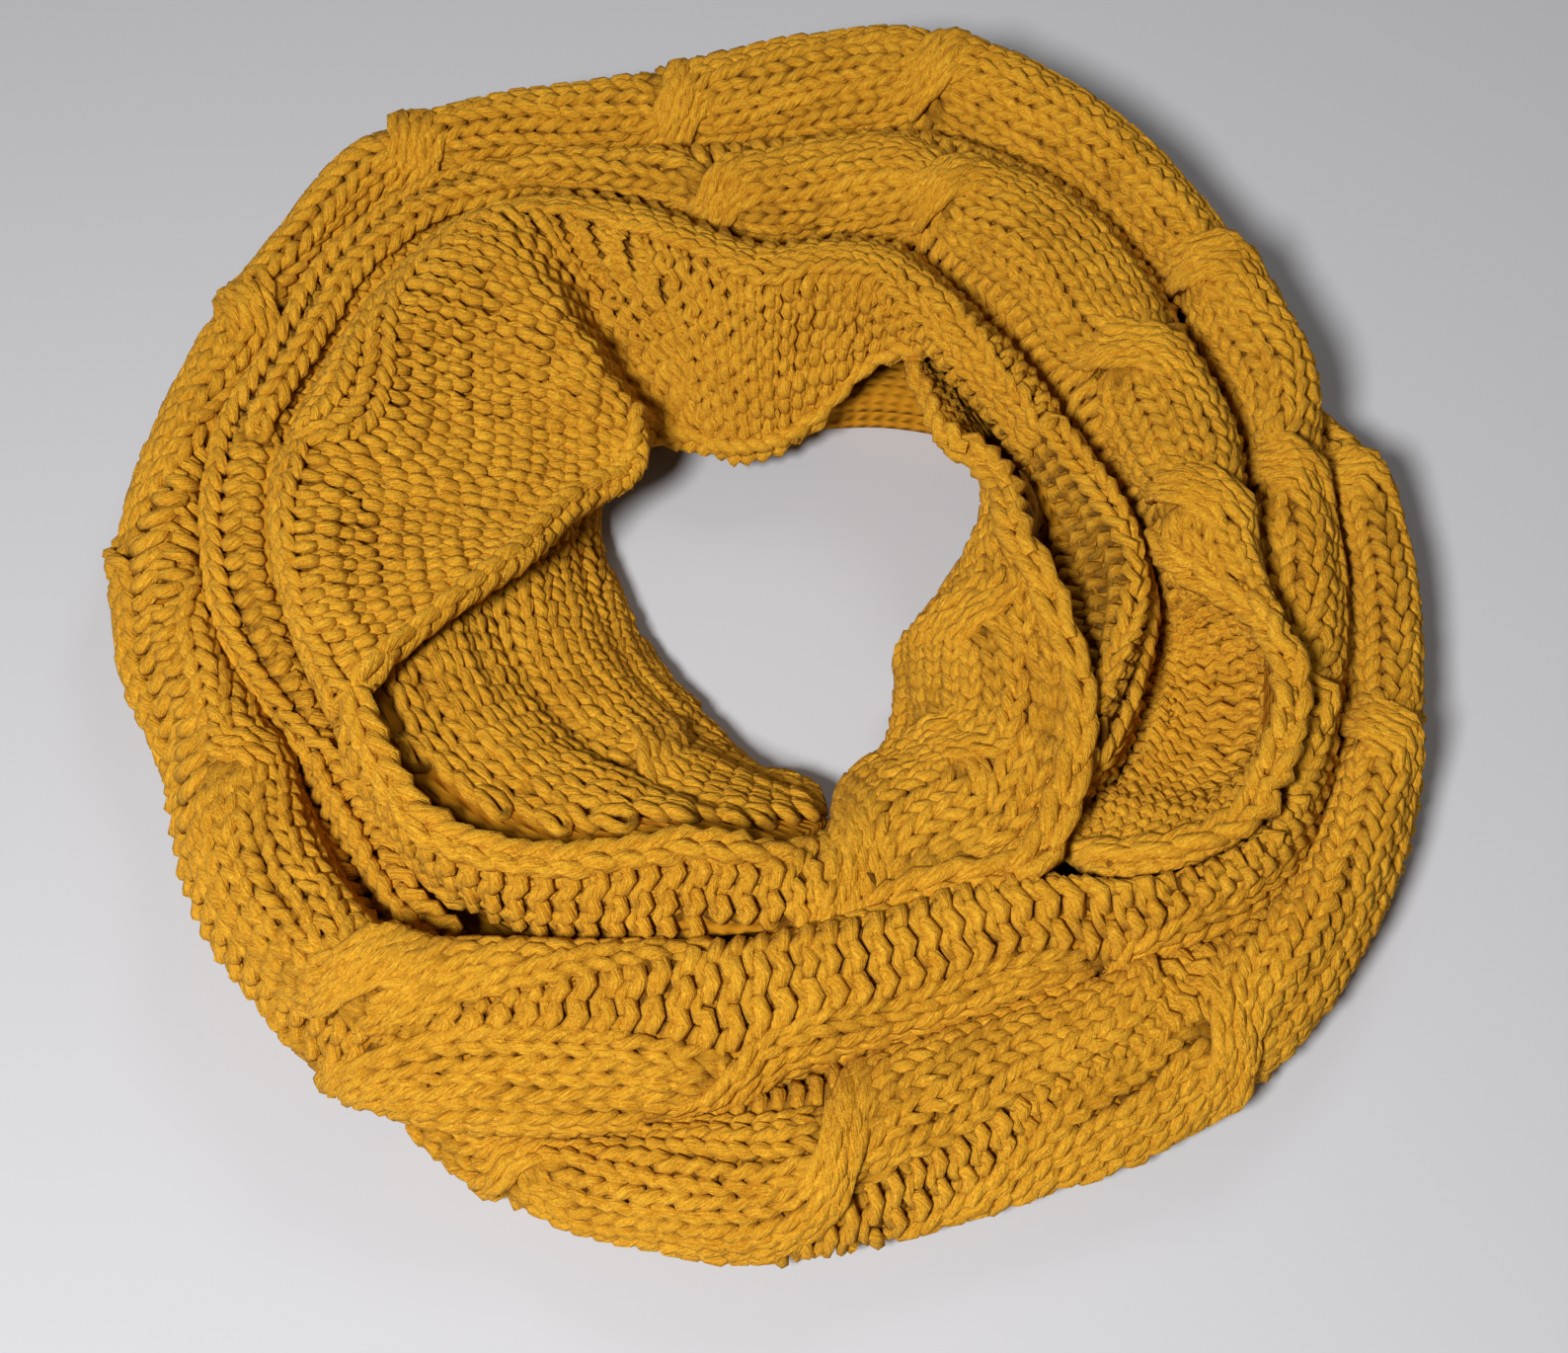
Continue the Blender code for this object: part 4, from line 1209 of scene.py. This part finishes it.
def lines_of_yarn(name, points, shown, plump, raised):
    """A mesh of bare lines, one for each run of stitches in a row."""
    where = np.flatnonzero(shown.ravel())
    order = np.full(shown.size, -1)
    order[where] = np.arange(len(where))
    order = order.reshape(shown.shape)
    corner = points.reshape(-1, LOOP_POINTS, 3)[where].reshape(-1, 3) / 1000
    loop = np.stack([np.arange(LOOP_POINTS - 1), np.arange(1, LOOP_POINTS)], axis=1)
    edges = [loop + LOOP_POINTS * k for k in range(len(where))]
    joined = (order[:, :-1] >= 0) & (order[:, 1:] >= 0)
    before, after = order[:, :-1][joined], order[:, 1:][joined]
    links = np.stack([before * LOOP_POINTS + LOOP_POINTS - 1, after * LOOP_POINTS], axis=1)
    edges = np.concatenate(edges + [links])
    mesh = bpy.data.meshes.new(name)
    mesh.vertices.add(len(corner))
    mesh.edges.add(len(edges))
    mesh.vertices.foreach_set("co", corner.ravel())
    mesh.edges.foreach_set("vertices", edges.astype(np.int32).ravel())
    for value_name, values in (("plump", plump), ("raised", raised)):
        mesh.attributes.new(value_name, "FLOAT", "POINT").data.foreach_set(
            "value", values.reshape(-1, LOOP_POINTS)[where].ravel())
    mesh.update()
    return mesh


# %% [markdown]
# ## Spinning the yarn along the lines
#
# A Geometry Nodes tree turns each line into yarn: the line becomes a curve, a small ring is
# swept along it, and the result gets its material. The tree also writes two values on the
# yarn's surface, how far along the strand a point is and which way round it, so that the
# material can twist its plies along the strand wherever it goes.

# %% The tree that makes yarn
YARN_THICKNESS, YARN_SIDES = 3.95, 6    # mm, and the corners of its outline


def yarn_tree():
    tree = bpy.data.node_groups.new("yarn_along_lines", "GeometryNodeTree")
    tree.is_modifier = True
    add_socket(tree, "Lines", "INPUT", "NodeSocketGeometry")
    names = {name: add_socket(tree, name, "INPUT", kind, value) for name, kind, value in (
        ("Yarn thickness", "NodeSocketFloat", YARN_THICKNESS / 1000),
        ("Sides", "NodeSocketInt", YARN_SIDES), ("Material", "NodeSocketMaterial", None))}
    add_socket(tree, "Yarn", "OUTPUT", "NodeSocketGeometry")
    given = add_node(tree, "NodeGroupInput").outputs
    curve = add_node(tree, "GeometryNodeMeshToCurve", {"Mesh": given["Lines"]})
    length = add_node(tree, "GeometryNodeSplineParameter").outputs["Length"]
    strand = add_node(tree, "GeometryNodeStoreNamedAttribute", {
        "Geometry": curve.outputs["Curve"], "Name": "strand_along", "Value": length},
        data_type="FLOAT")
    circle = add_node(tree, "GeometryNodeCurvePrimitiveCircle", {
        "Resolution": given["Sides"], "Radius": 1.0})
    place = add_node(tree, "GeometryNodeInputPosition").outputs["Position"]
    ring = add_node(tree, "GeometryNodeStoreNamedAttribute", {
        "Geometry": circle.outputs["Curve"], "Name": "strand_around", "Value": place},
        data_type="FLOAT_VECTOR")
    plump = add_node(tree, "GeometryNodeInputNamedAttribute", {"Name": "plump"}, data_type="FLOAT")
    half = maths(tree, "MULTIPLY", given["Yarn thickness"], 0.5)
    sweep = add_node(tree, "GeometryNodeCurveToMesh", {
        "Curve": strand.outputs["Geometry"], "Profile Curve": ring.outputs["Geometry"],
        "Scale": maths(tree, "MULTIPLY", half, plump.outputs["Attribute"]), "Fill Caps": True})
    soft = add_node(tree, "GeometryNodeSetShadeSmooth", {"Geometry": sweep.outputs["Mesh"]})
    real = add_node(tree, "GeometryNodeRealizeInstances", {"Geometry": soft.outputs["Geometry"]})
    dye = add_node(tree, "GeometryNodeSetMaterial", {
        "Geometry": real.outputs["Geometry"], "Material": given["Material"]})
    add_node(tree, "NodeGroupOutput", {"Yarn": dye.outputs["Geometry"]})
    return tree, names


spin, spin_inputs = yarn_tree()


def spun(name, lines, material):
    """The finished yarn of some lines, as a plain mesh."""
    holder = bpy.data.objects.new(name + "_lines", lines)
    bpy.context.scene.collection.objects.link(holder)
    modifier = holder.modifiers.new("yarn", "NODES")
    modifier.node_group = spin
    modifier[spin_inputs["Yarn thickness"]] = YARN_THICKNESS / 1000
    modifier[spin_inputs["Sides"]] = YARN_SIDES
    modifier[spin_inputs["Material"]] = material
    seen = holder.evaluated_get(bpy.context.evaluated_depsgraph_get())
    mesh = bpy.data.meshes.new_from_object(seen)
    mesh.name = name
    bpy.data.objects.remove(holder)
    piece = bpy.data.objects.new(name, mesh)
    bpy.context.scene.collection.objects.link(piece)
    return piece


print("nodes of the yarn's tree:", len(spin.nodes))

# %% [markdown]
# ## The yarn's material
#
# Chunky acrylic yarn is several soft plies twisted together, with a fuzz of fine fibres. The
# plies run round the strand as it goes along, so they are drawn on the two values that the yarn
# carries, in a group of nodes that any yarn could use. The fuzz is too fine to model, so a
# small, distorted noise mottles the colour and the bumps instead. A little sheen stands for its
# halo. Yarn that lies deep in the knit gets painted shade: its colour is mixed towards dark brown.

# %% Plies and fibres, shared by every yarn
def ply_group():
    tree = bpy.data.node_groups.new("plies_and_hairs", "ShaderNodeTree")
    for name, kind, value in (("Around", "NodeSocketVector", None),
                              ("Along", "NodeSocketFloat", 0.0),
                              ("Plies", "NodeSocketFloat", 4.0),
                              ("Twist length", "NodeSocketFloat", 0.026)):
        add_socket(tree, name, "INPUT", kind, value)
    for name in ("Height", "Hairs"):
        add_socket(tree, name, "OUTPUT", "NodeSocketFloat")
    given = add_node(tree, "NodeGroupInput").outputs
    do = partial(maths, tree)

    parts = add_node(tree, "ShaderNodeSeparateXYZ", {0: given["Around"]}).outputs
    turns = do("DIVIDE", given["Along"], given["Twist length"])
    phase = do("ADD", do("ARCTAN2", parts["Y"], parts["X"]), do("MULTIPLY", turns, 2 * math.pi))
    ply = do("ABSOLUTE", do("COSINE", do("MULTIPLY", do("MULTIPLY", phase, given["Plies"]), 0.5)))
    spot = add_node(tree, "ShaderNodeCombineXYZ", {
        "X": do("MULTIPLY", do("COSINE", phase), 1.5),
        "Y": do("MULTIPLY", do("SINE", phase), 1.5),
        "Z": do("MULTIPLY", given["Along"], 120.0)})
    hairs = add_node(tree, "ShaderNodeTexNoise", {
        "Vector": spot.outputs[0], "Scale": 2.6, "Detail": 3.0}).outputs["Fac"]
    height = do("ADD", do("MULTIPLY", ply, 0.35), do("MULTIPLY", hairs, 1.1))
    add_node(tree, "NodeGroupOutput", {"Hairs": hairs, "Height": height})
    return tree


plies = ply_group()
print("nodes of the plies:", len(plies.nodes))


# %% The yarn's colour and bumps
def yarn_material(name, deep, light):
    material, tree, shader = empty_material(name)
    do = partial(maths, tree)
    around, along, raised = (add_node(tree, "ShaderNodeAttribute", attribute_name=kept).outputs
                             for kept in ("strand_around", "strand_along", "raised"))
    ply = add_node(tree, "ShaderNodeGroup", {"Around": around["Vector"], "Along": along["Fac"]},
                   node_tree=plies)
    place = add_node(tree, "ShaderNodeTexCoord").outputs["Object"]
    cloudy = add_node(tree, "ShaderNodeTexNoise", {
        "Vector": place, "Scale": 60.0, "Detail": 2.0}).outputs["Fac"]
    fuzz = add_node(tree, "ShaderNodeTexNoise", {
        "Vector": place, "Scale": 620.0, "Detail": 3.0, "Roughness": 0.65,
        "Distortion": 2.2}).outputs["Fac"]

    blend = do("MULTIPLY_ADD", ply.outputs["Hairs"], 1.8, do("MULTIPLY_ADD", cloudy, 0.5, -0.65))
    mottled = do("ADD", blend, do("MULTIPLY_ADD", fuzz, 1.7, -0.85), use_clamp=True)
    shade = add_node(tree, "ShaderNodeMix", {
        "Factor": mottled, "A": (*deep, 1), "B": (*light, 1)}, data_type="RGBA")
    # Painted shade: the lower the yarn lies in the knit, the more its colour is mixed towards a dark brown, about a
    # third as bright as the deep colour.
    depth = add_node(tree, "ShaderNodeMapRange", {
        "Value": raised["Fac"], "From Min": 0.12, "From Max": 0.72, "To Min": 0.0, "To Max": 1.0},
        interpolation_type="SMOOTHSTEP")
    sunk = add_node(tree, "ShaderNodeMix", {
        "Factor": depth.outputs["Result"], "A": (*[0.35 * c for c in deep], 1),
        "B": shade.outputs["Result"]}, data_type="RGBA")
    bump = add_node(tree, "ShaderNodeBump", {
        "Strength": 0.9, "Distance": 0.0008,
        "Height": do("MULTIPLY_ADD", fuzz, 0.9, ply.outputs["Height"])})
    tree.links.new(sunk.outputs["Result"], shader.inputs["Base Color"])
    tree.links.new(bump.outputs["Normal"], shader.inputs["Normal"])
    for socket, value in (("Roughness", 0.9), ("Specular IOR Level", 0.08), ("Sheen Weight", 0.06),
                          ("Sheen Roughness", 0.5), ("Sheen Tint", (1.0, 0.75, 0.3, 1))):
        shader.inputs[socket].default_value = value
    return material


mustard = yarn_material("mustard_yarn_plied", (0.42, 0.155, 0.004), (0.80, 0.42, 0.03))

# %% Knit every stretch
yarn_pieces = {}
for seed, cloth in enumerate(CLOTHS):
    yarn_pieces[cloth.name] = []
    for part, (first, last, chart, *side) in enumerate(CHARTS[cloth.name]):
        name = "%s_yarn_%s" % (cloth.name, side[0] if side else part + 1)
        lines = knit(cloth, chart, first, last, 10 * seed + part)
        piece = spun(name, lines_of_yarn(name, *lines), mustard)
        yarn_pieces[cloth.name].append(piece)
        print(name, "stitches:", int(lines[1].sum()), "triangles:",
              sum(len(p.vertices) - 2 for p in piece.data.polygons))
    for part, chain in enumerate(CHAINS.get(cloth.name, [])):
        name = cloth.name + "_edge_chain_%d" % (part + 1)
        piece = spun(name, lines_of_yarn(name, *edge_chain(cloth, *chain, 100 + part)), mustard)
        yarn_pieces[cloth.name].append(piece)

# %% [markdown]
# ## The cloth behind the stitches
#
# Behind the rows of yarn lies the body of the cloth, a thin closed wall. It keeps light from
# shining through between the loops, and its other side is seen where an edge stands up. It is
# a plain strip with two sides and a rim, and its knit is only in its material. Its colour is
# painted shade: a darker copy of the yarn's colours, so that the gaps between the loops read as
# shade, and darker still in the low parts of its drawn knit.

# %% The material of the cloth behind
COLUMN, PITCH = 0.0072, 0.0062      # the drawn stitches, in metres


def cloth_with_painted_shade(name, deep, light):
    """Knit drawn as bumps, on the distances along and across the cloth, with painted shade: the colour is darker where
    the drawn knit is low.
    """
    material, tree, shader = empty_material(name)
    do = partial(maths, tree)
    uv = add_node(tree, "ShaderNodeUVMap", uv_map="cloth").outputs["UV"]
    parts = add_node(tree, "ShaderNodeSeparateXYZ", {0: uv}).outputs
    column = do("ABSOLUTE", do("SINE", do("MULTIPLY", parts["X"], 2 * math.pi / COLUMN)))
    row = do("MULTIPLY", parts["Y"], 2 * math.pi / PITCH)
    stitch = do("SINE", do("ADD", row, do("MULTIPLY", do("MULTIPLY", column, 0.9), 2.2)))
    height = do("ADD", do("MULTIPLY", stitch, 0.5), column)
    bump = add_node(tree, "ShaderNodeBump", {"Strength": 0.6, "Distance": 0.0009, "Height": height})
    # Painted shade: the low parts of the drawn knit take the darker colour.
    shade = add_node(tree, "ShaderNodeMix", {
        "Factor": do("MULTIPLY_ADD", height, 0.5, 0.5), "A": (*deep, 1), "B": (*light, 1)},
        data_type="RGBA")
    tree.links.new(bump.outputs["Normal"], shader.inputs["Normal"])
    tree.links.new(shade.outputs["Result"], shader.inputs["Base Color"])
    shader.inputs["Roughness"].default_value = 0.95
    shader.inputs["Specular IOR Level"].default_value = 0.08
    return material


# Painted shade: darker copies of the yarn's colours, for the cloth seen between and behind the loops.
behind = cloth_with_painted_shade("mustard_cloth_behind", (0.22, 0.078, 0.002), (0.45, 0.19, 0.009))


# %% The walls
WALL_STEP_ALONG, WALL_COLUMNS = 6.0, 30
OUTER_SIDE, INNER_SIDE = -2.0, -4.0     # mm under the outer side of the cloth
FOLLOWS_CABLES = 0.8                    # of their height


def finish_mesh(name, points, faces, places):
    """A mesh in metres with a UV map of the distances along and across the cloth."""
    mesh = bpy.data.meshes.new(name)
    mesh.from_pydata((points / 1000).tolist(), [], faces)
    uv = mesh.uv_layers.new(name="cloth")
    corner = np.zeros(len(mesh.loops), np.int32)
    mesh.loops.foreach_get("vertex_index", corner)
    uv.data.foreach_set("uv", (places[corner] / 1000).ravel())
    mesh.shade_smooth()
    # The cloth's material, coloured with painted shade
    mesh.materials.append(behind)
    piece = bpy.data.objects.new(name, mesh)
    bpy.context.scene.collection.objects.link(piece)
    return piece


def wall(cloth):
    """A closed wall behind the yarn: its front, its back and the rim between them."""
    steps = int(cloth.length / WALL_STEP_ALONG)
    along = np.linspace(0, cloth.length, steps + 1)[:, None] * np.ones(WALL_COLUMNS)
    if cloth.closed:
        along = along[:-1]
    across = cloth.width_at(along[:, :1]) * np.linspace(0.0, 1, WALL_COLUMNS)
    hills = relief(cloth, along, across)
    front = cloth.place(along, across,
                        OUTER_SIDE + np.where(hills > 0, FOLLOWS_CABLES * hills, hills))
    back = cloth.place(along, across, INNER_SIDE + np.minimum(hills, 0))
    points = np.concatenate([front.reshape(-1, 3), back.reshape(-1, 3)])
    places = np.tile(np.stack([across.ravel(), along.ravel()], axis=1), (2, 1))
    n, m = across.shape
    faces = []
    for i in range(n if cloth.closed else n - 1):
        here, then = i * m, (i + 1) % n * m
        for j in range(m - 1):
            a, b, c, d = here + j, here + j + 1, then + j + 1, then + j
            faces.append((a, d, c, b))
            faces.append(tuple(n * m + v for v in (a, b, c, d)))
        faces.append((here, n * m + here, n * m + then, then))
        faces.append((here + m - 1, then + m - 1, n * m + then + m - 1, n * m + here + m - 1))
    if not cloth.closed:
        last = (n - 1) * m
        for j in range(m - 1):
            faces.append((j, j + 1, n * m + j + 1, n * m + j))
            faces.append((last + j, n * m + last + j, n * m + last + j + 1, last + j + 1))
    if not cloth.turned:
        faces = [face[::-1] for face in faces]
    return finish_mesh(cloth.name + "_cloth", points, faces, places)


walls = {cloth.name: wall(cloth) for cloth in CLOTHS}
for name, piece in walls.items():
    print(name, "faces:", len(piece.data.polygons))

# %% [markdown]
# ## The layers underneath
#
# Under the turns that show lie the rest of the loop's folds, seen only as dark cloth deep in a
# groove. They are one ring with a flat underside and a soft dent in each side, where one folded
# layer lies on the next. They take the cloth's material, with its painted shade.

# %% The folded layers underneath
# Half of the outline of a section: mm in from the side, and height
HALF = [(3, 0), (0.5, 2.5), (0.5, 5.5), (3.5, 8.4), (0.5, 11), (1.5, 14.5), (6, 16.6), (14, 17)]
FOLDS = ([("hole", inwards, z) for inwards, z in HALF]
         + [("outside", -inwards, z) for inwards, z in HALF[::-1]])
ABOUT_RADIUS = 120      # mm, for the distance round the ring in its UV map
clocks = np.linspace(0, 360, 240, endpoint=False)
rings, places = [], []
for clock, (hole, outside) in zip(clocks, rows_at(HIDDEN_LAYERS, clocks, closed=True)):
    radius = np.array([(hole if side == "hole" else outside) + more for side, more, _ in FOLDS])
    height = np.array([z for _, _, z in FOLDS], float)
    rings.append(at(math.radians(clock), radius, height))
    steps = np.hypot(np.diff(radius), np.diff(height))
    places.append(np.column_stack([np.concatenate([[0], np.cumsum(steps)]),
                                   np.full(len(FOLDS), math.radians(clock) * ABOUT_RADIUS)]))
n, m = len(clocks), len(FOLDS)
faces = [(i * m + j, i * m + (j + 1) % m, (i + 1) % n * m + (j + 1) % m, (i + 1) % n * m + j)
         for i in range(n) for j in range(m)]
layers = finish_mesh("folded_layers", np.concatenate(rings), faces, np.concatenate(places))
print("folded_layers faces:", len(layers.data.polygons))

# %% [markdown]
# ## What stands for what
#
# Every piece rides on the scarf's one body, takes the yarn's slot, and stands for its node of
# the frame. Each wall is declared as a sheet of cloth, with the size that its stretch would
# have laid out flat, and with its yarn on it.

# %% Tell the frame
ROOT, SLOT = "root", "mustard_yarn"
for name, wall_piece in walls.items():
    for piece in [wall_piece, *yarn_pieces[name]]:
        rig.ride(piece, ROOT)
        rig.slot(piece, SLOT)
        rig.replaces(piece, name)
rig.ride(layers, ROOT)
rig.slot(layers, SLOT)
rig.replaces(layers, "hidden_layers")

# What each sheet would be laid out flat, in metres, and what it rests on
FLAT = {"outer_turn": (0.080, 1.16), "outer_low_stretch": (0.075, 0.50),
        "middle_turn": (0.072, 0.76), "inner_turn": (0.098, 0.52),
        "hole_side_band": (0.053, 0.38), "pocket_wall": (0.078, 0.20)}
RESTS = {"outer_turn": ["floor"], "outer_low_stretch": ["floor"],
         "middle_turn": ["folded_layers"], "inner_turn": ["folded_layers"],
         "hole_side_band": ["folded_layers"], "pocket_wall": ["floor"]}
for name, piece in walls.items():
    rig.sheet(piece, flat=FLAT[name], held="folded", rests_on=RESTS[name],
             with_pieces=yarn_pieces[name])

# %% [markdown]
# ## Sizes
#
# Yarn makes the scarf a few millimetres bigger than the solids of the frame. Both boxes are
# written to a file, so that they can be compared, and how much it grew is printed.

# %% Sizes, for comparison with the frame
new_low, new_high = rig.bounds()
with open("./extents.json", "w") as out:
    json.dump({"cad": [list(cad_low), list(cad_high)], "visual": [list(new_low), list(new_high)]}, out)
print("grown by, mm:", [round(1000 * (a - b), 1) for a, b in zip(cad_low, new_low)],
      [round(1000 * (b - a), 1) for a, b in zip(cad_high, new_high)])
